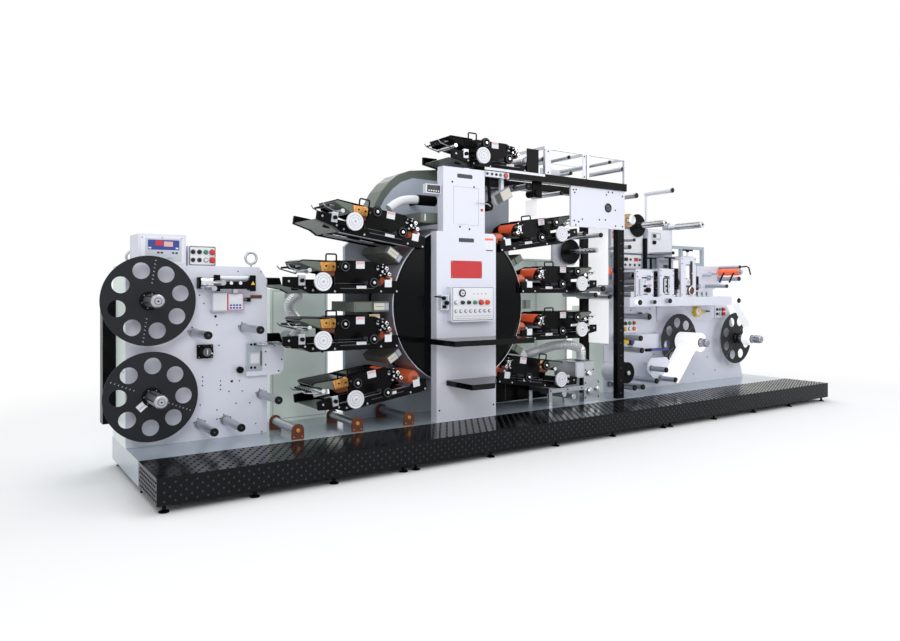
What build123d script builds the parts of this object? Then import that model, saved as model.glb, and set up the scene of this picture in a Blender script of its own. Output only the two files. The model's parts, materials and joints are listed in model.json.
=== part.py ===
from build123d import *
import math
import os

# Rotary letterpress for labels: reel stand, satellite press round one impression drum, finishing end.
# X runs along the machine, the operator stands on the -Y side, Z is up. All sizes are millimetres.

# Base and step
BASE_LENGTH = 7142.0
BASE_TOP = 207.0
FOOT_HEIGHT = 48.0
STEP_DEPTH = 488.0
STEP_WALL = 5.0
FRAME_GAP = 0.3
SECTION_GAP = 0.3
FRAME_DEPTH = 908.0
FRAME_WALL = 8.0
FIRST_JOINT = 1668.0
SECOND_JOINT = 4406.0
FOOT_PITCH = 600.0
FOOT_INSET = 50.0
FOOT_PAD_RADIUS = 30.0
FOOT_PAD_THICKNESS = 14.0
FOOT_STEM_RADIUS = 11.0

# Planes across the machine, counted from the front edge of the step
FRAME_FRONT = STEP_DEPTH + FRAME_GAP
FRAME_BACK = FRAME_FRONT + FRAME_DEPTH
COLUMN_DEPTH = 80.0
COLUMN_FACE = FRAME_FRONT + 6.7
COLUMN_BACK = COLUMN_FACE + COLUMN_DEPTH
DRUM_FACE = COLUMN_BACK + 5.0
DRUM_WIDTH = 380.0
DRUM_BACK = DRUM_FACE + DRUM_WIDTH
WALL_FACE = DRUM_BACK + 40.0
WALL_THICKNESS = 40.0
CABINET_FACE = WALL_FACE - 100.0
CABINET_PLATE = 12.0
CABINET_BACK = FRAME_BACK - 36.3
BED_FACE = COLUMN_FACE + 50.0
BED_PLATE = 25.0
CARRIAGE_FACE = BED_FACE + BED_PLATE + 30.0
CARRIAGE_PLATE = 20.0
CARRIAGE_BACK = CABINET_FACE - 10.0
REEL_PLANE = CABINET_FACE - 100.0
SEAT_GAP = 0.3

# Impression drum
DRUM_RADIUS = 650.0
DRUM_CHEEK = 16.0
MANTLE_STEP = 6.0
DRUM_RECESS = 5.0
DRUM_RIM = 26.0
DRUM_SHAFT_RADIUS = 70.0
SHAFT_BEARING_DEPTH = 30.0

# Print units, in their own frame: u runs away from the drum, w runs up, from the plate cylinder
UNIT_ANGLES = (52.5, 17.0, -17.0, -52.5)
UNIT_TILTS = (8.0, 0.0, 0.0, -8.0)
LEFT_OPENING = (0.0, 0.0, 0.0, 140.0)
RIGHT_OPENING = (140.0, 140.0, 140.0, 0.0)
TOP_OPENING = 140.0
PLATE_RADIUS = 55.0
JOURNAL_RADIUS = 12.0
DRUM_CLEARANCE = 5.0
BED_TOP = -50.0
BED_BOTTOM = -108.0
BED_LENGTH = 720.0
ARM_REACH = 860.0
ARM_TOP = 11.0
CARRIAGE_TOP = 133.0
HANDLE_BAR = 12.0
HAND_WHEEL_RADIUS = 42.0
HAND_WHEEL_WIDTH = 30.0
DIAL_RADIUS = 66.0
DIAL_THICKNESS = 18.0
DIAL = (594.0, -23.0)
LOWER_WHEEL = (197.0, -28.0)
UPPER_WHEEL = (414.0, 87.0)
LOWER_WHEEL_FACE = CARRIAGE_FACE - 148.0
UPPER_WHEEL_FACE = CARRIAGE_FACE - 114.0
DIAL_FACE = BED_FACE - 81.0
UNIT_REACH = DRUM_RADIUS + DRUM_CLEARANCE + PLATE_RADIUS

# Left reel stand
LEFT_WIDTH = 960.0
LEFT_TOP = 1418.0
CABINET_SET_IN = 60.0
REEL_RADIUS = 297.0
REEL_THICKNESS = 6.0
REEL_HOLE_RADIUS = 54.0
REEL_HOLE_CIRCLE = 203.0
REEL_HOLES = 8
AIR_SHAFT_RADIUS = 40.0
SPINDLE_RADIUS = 25.0
LEFT_REELS = ((127.0, 1180.0), (141.0, 548.0))
ROLLER_RADIUS = 27.0
ROLLER_FRONT = BED_FACE - 5.0

# Places along the machine
ARM_GAP = 46.0
UNIT_SPREAD = UNIT_REACH * math.cos(math.radians(UNIT_ANGLES[1]))
DRUM_X = LEFT_WIDTH - CABINET_SET_IN + ARM_GAP + ARM_REACH + UNIT_SPREAD
DRUM_Z = BASE_TOP + 918.0
COLUMN_WIDTH = 592.0
COLUMN_CENTRE = DRUM_X - 3.0
COLUMN_SHOULDER = DRUM_Z + 592.0
COLUMN_UPPER_WIDTH = 413.0
COLUMN_UPPER_CENTRE = DRUM_X - 30.0
PORTAL_BEAM_BOTTOM = DRUM_Z + 1075.0
PORTAL_BEAM = 70.0
PORTAL_BEAM_TOP = PORTAL_BEAM_BOTTOM + PORTAL_BEAM
COLUMN_TOP = PORTAL_BEAM_TOP - 35.0
PORTAL_RIGHT = DRUM_X + 1901.0
PORTAL_FACE = COLUMN_FACE + 5.0
PORTAL_DEPTH = 90.0
POST_WIDTH = 89.0
POST_SET_BACK = 35.0
REAR_BEAM_LAP = 40.0
TOP_UNIT_X = DRUM_X + 743.0
TOP_FRAME_LEFT = DRUM_X + 853.0
TOP_FRAME_HEIGHT = 250.0
TOP_BAR = 24.0
RIGHT_LEFT = PORTAL_RIGHT + 114.0
RIGHT_RIGHT = RIGHT_LEFT + 2400.0
RIGHT_TOP = BASE_TOP + 878.0
BED_PLATE_TOP = RIGHT_TOP + 95.0

# The part stands on its feet with the origin under the middle of its box
LEFT_EDGE = LEFT_REELS[0][0] - REEL_RADIUS
ORIGIN = ((LEFT_EDGE + BASE_LENGTH) / 2, FRAME_BACK / 2)


def box(x0, x1, y0, y1, z0, z1):
    """A block between two values on each axis."""
    return Pos((x0 + x1) / 2, (y0 + y1) / 2, (z0 + z1) / 2) * Box(x1 - x0, y1 - y0, z1 - z0)


def rod(x, z, radius, y0, y1):
    """A round bar across the machine."""
    return Pos(x, (y0 + y1) / 2, z) * Rot(90, 0, 0) * Cylinder(radius, y1 - y0)


def turned(x, z, profile):
    """A profile of radius and Y, turned about an axis across the machine."""
    face = make_face(Polyline(*[(r, y, 0) for r, y in profile], close=True))
    return Pos(x, 0, z) * revolve(face, Axis.Y)


def plate(points, y0, y1):
    """A plate with an outline drawn in X and Z."""
    outline = Polyline(*[(x, y0, z) for x, z in points], close=True)
    return extrude(make_face(outline), amount=y1 - y0, dir=(0, 1, 0))


def place(shape):
    """Moves a shape from the measuring corner to the part's origin."""
    return Pos(-ORIGIN[0], -ORIGIN[1], 0) * shape


def save(name, *pieces):
    """Writes one node, each piece as a solid of its own."""
    solids = [solid for piece in pieces for solid in place(piece).solids()]
    export_step(Compound(solids), "parts/" + name + ".step")


SECTION_JOINTS = (0.0, FIRST_JOINT, SECOND_JOINT, BASE_LENGTH)
FOOT_ROWS = (FOOT_INSET, FRAME_FRONT + FOOT_INSET, FRAME_BACK - FOOT_INSET)


def section_feet(left, right):
    """Foot places along one section of the base, evenly spread."""
    room = right - left - 2 * FOOT_INSET
    count = max(1, round(room / FOOT_PITCH))
    return [left + FOOT_INSET + room * k / count for k in range(count + 1)]


def foot_block(x, y):
    """The nut block that a levelling foot screws into."""
    return Pos(x, y, (FOOT_HEIGHT + BASE_TOP) / 2) * Cylinder(FOOT_PAD_RADIUS, BASE_TOP - FOOT_HEIGHT)


def step_section(left, right):
    """One folded length of the tread-plate step, with a nut block over each foot."""
    outer = box(left + SECTION_GAP / 2, right - SECTION_GAP / 2, 0, STEP_DEPTH, FOOT_HEIGHT, BASE_TOP)
    inner = box(left + STEP_WALL, right - STEP_WALL, STEP_WALL, STEP_DEPTH - STEP_WALL,
                FOOT_HEIGHT, BASE_TOP - STEP_WALL)
    deck = outer - inner
    for x in section_feet(left, right):
        deck += foot_block(x, FOOT_ROWS[0])
    return deck


def base_section(left, right):
    """One welded length of the base frame, open below."""
    gap = SECTION_GAP / 2
    outer = box(left + gap, right - gap, FRAME_FRONT, FRAME_BACK, FOOT_HEIGHT, BASE_TOP)
    inner = box(left + FRAME_WALL, right - FRAME_WALL, FRAME_FRONT + FRAME_WALL,
                FRAME_BACK - FRAME_WALL, FOOT_HEIGHT, BASE_TOP - FRAME_WALL)
    frame = outer - inner
    for x in section_feet(left, right):
        for y in FOOT_ROWS[1:]:
            frame += foot_block(x, y)
    return frame


def levelling_foot(x, y):
    """A round pad on a threaded stem."""
    profile = [(0, 0), (FOOT_PAD_RADIUS, 0), (FOOT_PAD_RADIUS, FOOT_PAD_THICKNESS / 2),
               (FOOT_STEM_RADIUS, FOOT_PAD_THICKNESS), (FOOT_STEM_RADIUS, FOOT_HEIGHT), (0, FOOT_HEIGHT)]
    face = make_face(Polyline(*[(r, 0, z) for r, z in profile], close=True))
    return Pos(x, y, 0) * revolve(face, Axis.Z)


def base():
    """The step, the welded frame behind it and the levelling feet, in three bolted lengths."""
    pairs = list(zip(SECTION_JOINTS, SECTION_JOINTS[1:]))
    save("step_deck", *[step_section(a, b) for a, b in pairs])
    save("base_frame", *[base_section(a, b) for a, b in pairs])
    places = [(x, y) for a, b in pairs for x in section_feet(a, b) for y in FOOT_ROWS]
    save("levelling_feet", *[levelling_foot(x, y) for x, y in places])


COLUMN_LEFT = COLUMN_CENTRE - COLUMN_WIDTH / 2
COLUMN_RIGHT = COLUMN_CENTRE + COLUMN_WIDTH / 2
UPPER_LEFT = COLUMN_UPPER_CENTRE - COLUMN_UPPER_WIDTH / 2
UPPER_RIGHT = COLUMN_UPPER_CENTRE + COLUMN_UPPER_WIDTH / 2
SHOULDER_DROP = 26.0
VENT_HEIGHT = 36.0
VENT_WIDTH = 9.0
VENT_PITCH = 17.0
VENT_DEPTH = 4.0
VENTS = 9
VENT_PLACES = ((COLUMN_UPPER_CENTRE + 5.0, COLUMN_TOP - 65.0),
               (COLUMN_UPPER_CENTRE + 20.0, COLUMN_SHOULDER - 63.0))
PANEL = (COLUMN_UPPER_CENTRE - 110.0, COLUMN_UPPER_CENTRE + 145.0,
         COLUMN_SHOULDER + 59.0, COLUMN_TOP - 153.0)
PANEL_GROOVE = 4.0


def vent_field(x, z):
    """Short louvre slots, side by side, cut a little way into the column's face."""
    slots = None
    for k in range(VENTS):
        middle = x + (k - (VENTS - 1) / 2) * VENT_PITCH
        slot = box(middle - VENT_WIDTH / 2, middle + VENT_WIDTH / 2, COLUMN_FACE, COLUMN_FACE + VENT_DEPTH,
                   z - VENT_HEIGHT / 2, z + VENT_HEIGHT / 2)
        slots = slot if slots is None else slots + slot
    return slots


def column():
    """The front column: narrower head, bearing seat, vents and the groove round its access panel."""
    outline = [(COLUMN_LEFT, BASE_TOP), (COLUMN_RIGHT, BASE_TOP), (COLUMN_RIGHT,
                                                                   COLUMN_SHOULDER - SHOULDER_DROP),
               (COLUMN_RIGHT - SHOULDER_DROP, COLUMN_SHOULDER), (UPPER_RIGHT, COLUMN_SHOULDER),
               (UPPER_RIGHT, COLUMN_TOP), (UPPER_LEFT, COLUMN_TOP), (UPPER_LEFT, COLUMN_SHOULDER),
               (COLUMN_LEFT, COLUMN_SHOULDER)]
    body = plate(outline, COLUMN_FACE, COLUMN_BACK)
    body -= rod(DRUM_X, DRUM_Z, DRUM_SHAFT_RADIUS + SEAT_GAP, COLUMN_BACK - SHAFT_BEARING_DEPTH,
                COLUMN_BACK)
    for x, z in VENT_PLACES:
        body -= vent_field(x, z)
    x0, x1, z0, z1 = PANEL
    g = PANEL_GROOVE
    groove = box(x0, x1, COLUMN_FACE, COLUMN_FACE + g, z0, z1)
    groove -= box(x0 + g, x1 - g, COLUMN_FACE, COLUMN_FACE + g, z0 + g, z1 - g)
    save("column", body - groove)


TREAD_FRONT = COLUMN_FACE - 348.0
UPPER_TREAD = (COLUMN_CENTRE - 361.0, COLUMN_CENTRE + 416.0)
UPPER_TREAD_TOP = BASE_TOP + 663.0
LOWER_TREAD = (COLUMN_CENTRE - 203.0, COLUMN_CENTRE + 15.0)
LOWER_TREAD_TOP = BASE_TOP + 328.0
TREAD_THICKNESS = 42.0


def column_treads():
    """Two treads to climb: a wide one and a lower one with its right end cut away."""
    z1 = UPPER_TREAD_TOP
    upper = box(UPPER_TREAD[0], UPPER_TREAD[1], TREAD_FRONT, COLUMN_FACE, z1 - TREAD_THICKNESS, z1)
    z2 = LOWER_TREAD_TOP
    outline = [(LOWER_TREAD[0], TREAD_FRONT), (LOWER_TREAD[1], TREAD_FRONT), (COLUMN_RIGHT, COLUMN_FACE),
               (LOWER_TREAD[0], COLUMN_FACE)]
    face = make_face(Polyline(*[(x, y, z2 - TREAD_THICKNESS) for x, y in outline], close=True))
    lower = extrude(face, amount=TREAD_THICKNESS, dir=(0, 0, 1))
    save("column_treads", upper, lower)


CONSOLE_LEFT = COLUMN_CENTRE - 197.0
CONSOLE_RIGHT = COLUMN_CENTRE + 233.0
CONSOLE_BOTTOM = BASE_TOP + 790.0
CONSOLE_TOP = BASE_TOP + 1077.0
CONSOLE_DEPTH = 60.0
CONSOLE_CORNER = 14.0
BUTTON_RADIUS = 13.0
BUTTON_LENGTH = 22.0
KEY_RADIUS = 10.0
KEY_LENGTH = 10.0
BUTTONS = 6
KEYS = 8
CONSOLE_GAUGE_RADIUS = 30.0


def console():
    """The operator's console: a round-cornered box with a gauge, a row of push buttons and a row of keys."""
    front = COLUMN_FACE - CONSOLE_DEPTH
    shell = box(CONSOLE_LEFT, CONSOLE_RIGHT, front, COLUMN_FACE, CONSOLE_BOTTOM, CONSOLE_TOP)
    save("console", fillet(shell.edges().filter_by(Axis.Y), CONSOLE_CORNER))
    wide = CONSOLE_RIGHT - CONSOLE_LEFT
    high = CONSOLE_TOP - CONSOLE_BOTTOM
    row = CONSOLE_BOTTOM + high * 0.54
    pieces = [rod(CONSOLE_LEFT + wide * (k + 0.7) / (BUTTONS + 1), row, BUTTON_RADIUS,
                  front - BUTTON_LENGTH, front) for k in range(BUTTONS)]
    pieces += [rod(CONSOLE_LEFT + wide * (k + 0.9) / (KEYS + 1), CONSOLE_BOTTOM + high * 0.3, KEY_RADIUS,
                   front - KEY_LENGTH, front) for k in range(KEYS)]
    pieces.append(rod(CONSOLE_LEFT + wide * 0.24, CONSOLE_TOP - high * 0.2, CONSOLE_GAUGE_RADIUS,
                      front - KEY_LENGTH, front))
    save("console_buttons", *pieces)


def impression_drum():
    """The central drum: recessed cheeks with a bright rim, a smaller mantle and the through shaft."""
    r = DRUM_RADIUS
    m = r - MANTLE_STEP
    s = DRUM_SHAFT_RADIUS
    d = DRUM_RECESS
    shaft_front = COLUMN_BACK - SHAFT_BEARING_DEPTH + SEAT_GAP
    shaft_back = WALL_FACE + SHAFT_BEARING_DEPTH - SEAT_GAP
    profile = [(0, shaft_front), (s, shaft_front), (s, DRUM_FACE + d), (r - DRUM_RIM, DRUM_FACE + d),
               (r - DRUM_RIM + d, DRUM_FACE), (r, DRUM_FACE), (r, DRUM_FACE + DRUM_CHEEK),
               (m, DRUM_FACE + DRUM_CHEEK), (m, DRUM_BACK - DRUM_CHEEK), (r, DRUM_BACK - DRUM_CHEEK),
               (r, DRUM_BACK), (s, DRUM_BACK), (s, shaft_back), (0, shaft_back)]
    save("impression_drum", turned(DRUM_X, DRUM_Z, profile))


WALL_HALF = 845.0
WALL_SHOULDER = DRUM_Z + 475.0
ARCH_PROFILE = ((-589.0, 808.0), (-509.0, 948.0), (-436.0, 1034.0), (-353.0, 1097.0), (-240.0, 1140.0),
                (43.0, 1175.0))
ARCH_RIM = 60.0
ARCH_DEPTH = 220.0
ARCH_SHEET = 12.0


def arch_points(inset):
    """The arch's outline about the drum, moved inwards by an inset."""
    return [(DRUM_X + x + inset * 0.5, DRUM_Z + z - inset) for x, z in ARCH_PROFILE]


def main_wall():
    """The machine wall behind the drum, with the bearing seat and the arched left shoulder."""
    outline = [(DRUM_X - WALL_HALF, BASE_TOP), (DRUM_X + WALL_HALF, BASE_TOP),
               (DRUM_X + WALL_HALF, PORTAL_BEAM_BOTTOM), (arch_points(0)[-1][0], PORTAL_BEAM_BOTTOM)]
    outline += list(reversed(arch_points(ARCH_RIM)[:-1]))
    outline += [(DRUM_X - WALL_HALF, WALL_SHOULDER)]
    body = plate(outline, WALL_FACE, WALL_FACE + WALL_THICKNESS)
    seat = rod(DRUM_X, DRUM_Z, DRUM_SHAFT_RADIUS + SEAT_GAP, WALL_FACE, WALL_FACE + SHAFT_BEARING_DEPTH)
    save("main_wall", body - seat)


def arch_cover():
    """The rounded sheet cover that caps the left shoulder of the wall, open below behind the wall."""
    inner = arch_points(ARCH_RIM)[:-1] + [(arch_points(0)[-1][0], PORTAL_BEAM_BOTTOM)]
    cover = plate(arch_points(0) + list(reversed(inner)), WALL_FACE, WALL_FACE + ARCH_DEPTH)
    under = arch_points(ARCH_SHEET)
    under[-1] = (arch_points(0)[-1][0] - ARCH_SHEET, arch_points(ARCH_SHEET)[-1][1])
    low = [(x, z - 2 * ARCH_RIM) for x, z in reversed(under)]
    hollow = plate(under + low, WALL_FACE + WALL_THICKNESS, WALL_FACE + ARCH_DEPTH - ARCH_SHEET)
    save("arch_cover", cover - hollow)


def unit_place(side, angle, tilt):
    """Where a unit's frame lies: side is -1 on the left of the drum and 1 on the right."""
    a = math.radians(angle)
    return (DRUM_X + side * UNIT_REACH * math.cos(a), DRUM_Z + UNIT_REACH * math.sin(a), side, tilt)


def unit_frame(spot):
    """A function from the unit's u and w to X and Z."""
    x0, z0, side, tilt = spot
    t = math.radians(tilt)
    along = (side * math.cos(t), math.sin(t))
    up = (-side * math.sin(t), math.cos(t))
    return lambda u, w: (x0 + u * along[0] + w * up[0], z0 + u * along[1] + w * up[1])


def unit_plate(at, points, y0, y1):
    """A plate drawn in the unit's own frame."""
    return plate([at(u, w) for u, w in points], y0, y1)


def unit_rod(at, u, w, radius, y0, y1):
    """A round bar across the unit."""
    x, z = at(u, w)
    return rod(x, z, radius, y0, y1)


def unit_block(at, u0, u1, w0, w1, y0, y1):
    """A rectangular block in the unit's own frame."""
    return unit_plate(at, [(u0, w0), (u1, w0), (u1, w1), (u0, w1)], y0, y1)


BED_NOSE = -63.0
BED_TIES = ((90.0, 190.0), (330.0, 430.0), (560.0, 660.0))
TIE_RISE = 30.0
TIE_THICKNESS = 22.0
JOURNAL_SEAT = -JOURNAL_RADIUS - SEAT_GAP
RAIL_SLOT = (150.0, 420.0)
SLOT_DEPTH = 3.0
KNUCKLE = (700.0, 752.0)
KNUCKLE_REACH = 14.0


def unit_bed(at):
    """The fixed bed: two rails with noses beside the drum, joined by ties, with guides for the carriage."""
    nose = [(BED_NOSE, BED_BOTTOM), (BED_TIES[-1][0], BED_BOTTOM), (BED_LENGTH, BED_BOTTOM + TIE_RISE),
            (ARM_REACH, BED_TOP - 3), (ARM_REACH, ARM_TOP), (BED_LENGTH, ARM_TOP), (BED_LENGTH - 20,
                                                                                    BED_TOP),
            (80, BED_TOP), (40, JOURNAL_SEAT), (BED_NOSE, JOURNAL_SEAT)]
    front = unit_plate(at, nose, BED_FACE, BED_FACE + BED_PLATE)
    front -= unit_block(at, RAIL_SLOT[0], RAIL_SLOT[1], BED_TOP - 42, BED_TOP - 12,
                        BED_FACE, BED_FACE + SLOT_DEPTH)
    front += unit_block(at, KNUCKLE[0], KNUCKLE[1], BED_TOP, ARM_TOP, BED_FACE - KNUCKLE_REACH, BED_FACE)
    bed = front + unit_plate(at, nose, WALL_FACE - BED_PLATE, WALL_FACE)
    low = BED_BOTTOM + TIE_RISE
    for u0, u1 in BED_TIES:
        bed += unit_block(at, u0, u1, low, low + TIE_THICKNESS, BED_FACE, WALL_FACE)
    for y in (CARRIAGE_FACE, CARRIAGE_BACK - CARRIAGE_PLATE):
        bed += unit_block(at, BED_TIES[0][0], BED_TIES[-1][1], low + TIE_THICKNESS, BED_TOP,
                          y, y + CARRIAGE_PLATE)
    return bed


CHEEK_BOTTOM = BED_TOP + SEAT_GAP
CARRIAGE_CHEEK = ((110, CHEEK_BOTTOM), (470, CHEEK_BOTTOM), (470, 40), (690, 75), (712, 120), (690,
                                                                                               CARRIAGE_TOP),
                  (430, CARRIAGE_TOP), (110, CARRIAGE_TOP), (22, 98), (-6, 56), (-6, 18), (60, 18))
TOP_COVER = (180.0, 430.0)
COVER_THICKNESS = 21.0
FOUNTAIN_TRAY = ((440, 62), (560, 62), (690, 86), (702, 118), (640, 124), (440, 124))
FOUNTAIN_BLOCK = ((432, 55), (548, 55), (560, 122), (432, 126))
FOUNTAIN_BLOCK_REACH = 3.0
FAR_HANDLE = (421.0, 516.0, 188.0)
NEAR_HANDLE = (115.0, 230.0, 178.0)
NEAR_HANDLE_UNITS = ("right_1", "right_2", "right_3")
HANDLE_SETBACK = 4.0
FORM_ROLLER = (88.0, 80.0, 36.0)
OTHER_ROLLERS = ((140.0, 20.0, 34.0), (220.0, 66.0, 38.0), (310.0, 20.0, 38.0))
THROW_OFFS = ((36.0, 80.0), (14.0, 37.0))
THROW_OFF_RADIUS = 17.0
THROW_OFF_REACH = 55.0
WHEEL_SHAFT_RADIUS = 12.0
WHEEL_BOSS_REACH = 8.0
WHEEL_DISH = 9.0


def hand_wheel(at, spot, face):
    """A dished wheel with a rounded rim, on the shaft that comes out of the cheek."""
    x, z = at(*spot)
    r = HAND_WHEEL_RADIUS
    s = WHEEL_SHAFT_RADIUS
    back = face + HAND_WHEEL_WIDTH
    profile = [(0, face - WHEEL_BOSS_REACH), (s, face - WHEEL_BOSS_REACH), (s, face + WHEEL_DISH),
               (r * 0.6, face + WHEEL_DISH), (r * 0.72, face), (r * 0.93, face), (r, face + r * 0.1),
               (r, back - r * 0.1), (r * 0.93, back), (s, back), (s, CARRIAGE_FACE + 1), (0,
                                                                                          CARRIAGE_FACE + 1)]
    return turned(x, z, profile)


def carriage(at):
    """The inking carriage: cheeks, top cover, fountain tray and block, hand wheels and throw-offs in one."""
    cheek = list(CARRIAGE_CHEEK)
    body = unit_plate(at, cheek, CARRIAGE_FACE, CARRIAGE_FACE + CARRIAGE_PLATE)
    body += unit_plate(at, cheek, CARRIAGE_BACK - CARRIAGE_PLATE, CARRIAGE_BACK)
    body += unit_block(at, TOP_COVER[0], TOP_COVER[1], CARRIAGE_TOP - COVER_THICKNESS, CARRIAGE_TOP,
                       CARRIAGE_FACE, CARRIAGE_BACK)
    body += unit_plate(at, FOUNTAIN_TRAY, CARRIAGE_FACE, CARRIAGE_BACK)
    body += unit_plate(at, FOUNTAIN_BLOCK, CARRIAGE_FACE - FOUNTAIN_BLOCK_REACH,
                       CARRIAGE_FACE + CARRIAGE_PLATE * 2)
    body += hand_wheel(at, LOWER_WHEEL, LOWER_WHEEL_FACE)
    body += hand_wheel(at, UPPER_WHEEL, UPPER_WHEEL_FACE)
    for u, w in THROW_OFFS:
        body += unit_rod(at, u, w, THROW_OFF_RADIUS, CARRIAGE_FACE - THROW_OFF_REACH, CARRIAGE_FACE + 1)
    return body


def carriage_handle(at, spot):
    """The U-shaped grip that stands on the front cheek."""
    u0, u1, top = spot
    y0 = CARRIAGE_FACE + HANDLE_SETBACK
    grip = [(u0, CARRIAGE_TOP), (u0, top), (u1, top), (u1, CARRIAGE_TOP), (u1 - HANDLE_BAR, CARRIAGE_TOP),
            (u1 - HANDLE_BAR, top - HANDLE_BAR), (u0 + HANDLE_BAR, top - HANDLE_BAR),
            (u0 + HANDLE_BAR, CARRIAGE_TOP)]
    return unit_plate(at, grip, y0, y0 + HANDLE_BAR)


def carriage_rollers(at):
    """Form roller beside the plate cylinder and the distributor rollers, ends against the cheeks."""
    y0 = CARRIAGE_FACE + CARRIAGE_PLATE
    y1 = CARRIAGE_BACK - CARRIAGE_PLATE
    return [unit_rod(at, u, w, r, y0, y1) for u, w, r in (FORM_ROLLER, *OTHER_ROLLERS)]


BEARER_WIDTH = 12.0
BEARER_STEP = 3.0


def plate_cylinder(at):
    """The plate cylinder with its bearer rings and long journals in the noses of the bed."""
    x, z = at(0, 0)
    y0 = CARRIAGE_FACE + CARRIAGE_PLATE + 10
    y1 = CARRIAGE_BACK - CARRIAGE_PLATE - 10
    r = PLATE_RADIUS
    b = BEARER_WIDTH
    j = JOURNAL_RADIUS
    profile = [(0, BED_FACE + 5), (j, BED_FACE + 5), (j, y0), (r, y0), (r, y0 + b), (r - BEARER_STEP,
                                                                                     y0 + b),
               (r - BEARER_STEP, y1 - b), (r, y1 - b), (r, y1), (j, y1), (j, WALL_FACE - 5), (0,
                                                                                              WALL_FACE - 5)]
    return turned(x, z, profile)


def setting_dial(at):
    """The white setting dial with a raised rim and boss, on the post that carries it."""
    x, z = at(*DIAL)
    r = DIAL_RADIUS
    y0 = DIAL_FACE
    profile = [(0, y0 - 3), (r * 0.35, y0 - 3), (r * 0.35, y0 + 2), (r * 0.9, y0 + 2), (r * 0.93, y0), (r,
                                                                                                        y0 + 2),
               (r, y0 + DIAL_THICKNESS), (0, y0 + DIAL_THICKNESS)]
    return turned(x, z, profile) + unit_rod(at, DIAL[0], BED_TOP - 16, WHEEL_SHAFT_RADIUS, y0 + 4, BED_FACE)


def print_units():
    """Four units each side of the drum and one above, each a fixed bed and a sliding carriage."""
    names = ("1", "2", "3", "4")
    spots = []
    for name, angle, tilt, left, right in zip(names, UNIT_ANGLES, UNIT_TILTS, LEFT_OPENING, RIGHT_OPENING):
        spots.append(("left_" + name, unit_place(-1, angle, tilt), left))
        spots.append(("right_" + name, unit_place(1, angle, tilt), right))
    top = (TOP_UNIT_X, PORTAL_BEAM_TOP - BED_BOTTOM, -1, 0.0)
    spots.append(("top", top, TOP_OPENING))
    cylinders = []
    dials = []
    for name, spot, opening in spots:
        at = unit_frame(spot)
        moved = lambda u, w, at=at, opening=opening: at(u + opening, w)
        grip = NEAR_HANDLE if name in NEAR_HANDLE_UNITS else FAR_HANDLE
        save("unit_" + name + "_bed", unit_bed(at))
        save("unit_" + name + "_carriage", carriage(moved), carriage_handle(moved, grip),
             *carriage_rollers(moved))
        cylinders.append(plate_cylinder(at))
        dials.append(setting_dial(at))
    save("plate_cylinders", *cylinders)
    save("unit_dials", *dials)


LAMP_GAP = 12.0
LAMPS = ((180.0, 300.0, 38.0), (212.0, 130.0, 30.0), (147.0, 150.0, 32.0),
         (0.0, 100.0, 38.0), (-32.0, 120.0, 30.0), (32.0, 120.0, 30.0))
LAMP_FACE = CARRIAGE_FACE + 10.0
LAMP_BOX = (45.0, 141.0)
LAMP_BOX_REACH = 12.0
TOP_LAMP = (DRUM_X - 376.0, DRUM_X - 177.0, DRUM_Z + 664.0, DRUM_Z + 745.0)


def lamp_house(angle, length, half):
    """A lamp house whose mouth follows the drum, with the connection box on its front."""
    inner = DRUM_RADIUS + LAMP_GAP
    front = LAMP_FACE - LAMP_BOX_REACH
    shape = box(inner - LAMP_GAP, inner + length, LAMP_FACE, WALL_FACE, -half, half)
    shape += box(inner + LAMP_BOX[0], inner + min(length, LAMP_BOX[1]), front, LAMP_FACE, -half, half)
    house = Pos(DRUM_X, 0, DRUM_Z) * Rot(0, -angle, 0) * shape
    return house - rod(DRUM_X, DRUM_Z, inner, front, WALL_FACE)


def drying_lamps():
    """Lamp houses pointing at the drum between the units and one above it, carried on the wall."""
    x0, x1, z0, z1 = TOP_LAMP
    save("drying_lamps", *[lamp_house(*lamp) for lamp in LAMPS], box(x0, x1, LAMP_FACE, WALL_FACE, z0, z1))


DUCT_RADIUS = 48.0
DUCT_BEND = 95.0
STAND_DUCT_START = (995.0, -485.0)
STAND_DUCT_BEND = (1275.0, -410.0)
STAND_DUCT_END = 1535.0
STAND_DUCT_LEVEL = 700.0
STAND_DUCT_FRONT = CARRIAGE_FACE + 150.0
WALL_DUCT = ((-1210.0, 80.0), (-1290.0, -5.0), (-1195.0, -150.0), (-1250.0, -245.0))
WALL_DUCT_RADIUS = 45.0
WALL_DUCT_BEND = 75.0
WALL_DUCT_PLANE = CABINET_BACK - 260.0
WALL_DUCT_COLLAR = 6.0
BLOWER = (-315.0, -145.0, 862.0)
BLOWER_RADIUS = 44.0
BLOWER_PLANE = CARRIAGE_FACE + 160.0
BLOWER_DUCT = ((-579.0, 771.0), (-480.0, 845.0), (-315.0, 862.0))
BLOWER_DUCT_RADIUS = 36.0


def duct(points, radius, bend):
    """A round air duct along straight runs joined by bends."""
    path = FilletPolyline(*points, radius=bend)
    return sweep(Plane(path @ 0, z_dir=path % 0) * Circle(radius), path=path)


def stand_duct():
    """The duct from the right of the wall forward and down onto the nip stand."""
    y = WALL_FACE - DUCT_RADIUS
    x0, z0 = STAND_DUCT_START
    x1, z1 = STAND_DUCT_BEND
    x2 = DRUM_X + STAND_DUCT_END
    return duct([(DRUM_X + x0, y, DRUM_Z + z0), (DRUM_X + x1, y, DRUM_Z + z1),
                 (x2, STAND_DUCT_FRONT, STAND_DUCT_LEVEL), (x2, STAND_DUCT_FRONT, BASE_TOP + NIP_HIGH)],
                DUCT_RADIUS, DUCT_BEND)


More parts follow.
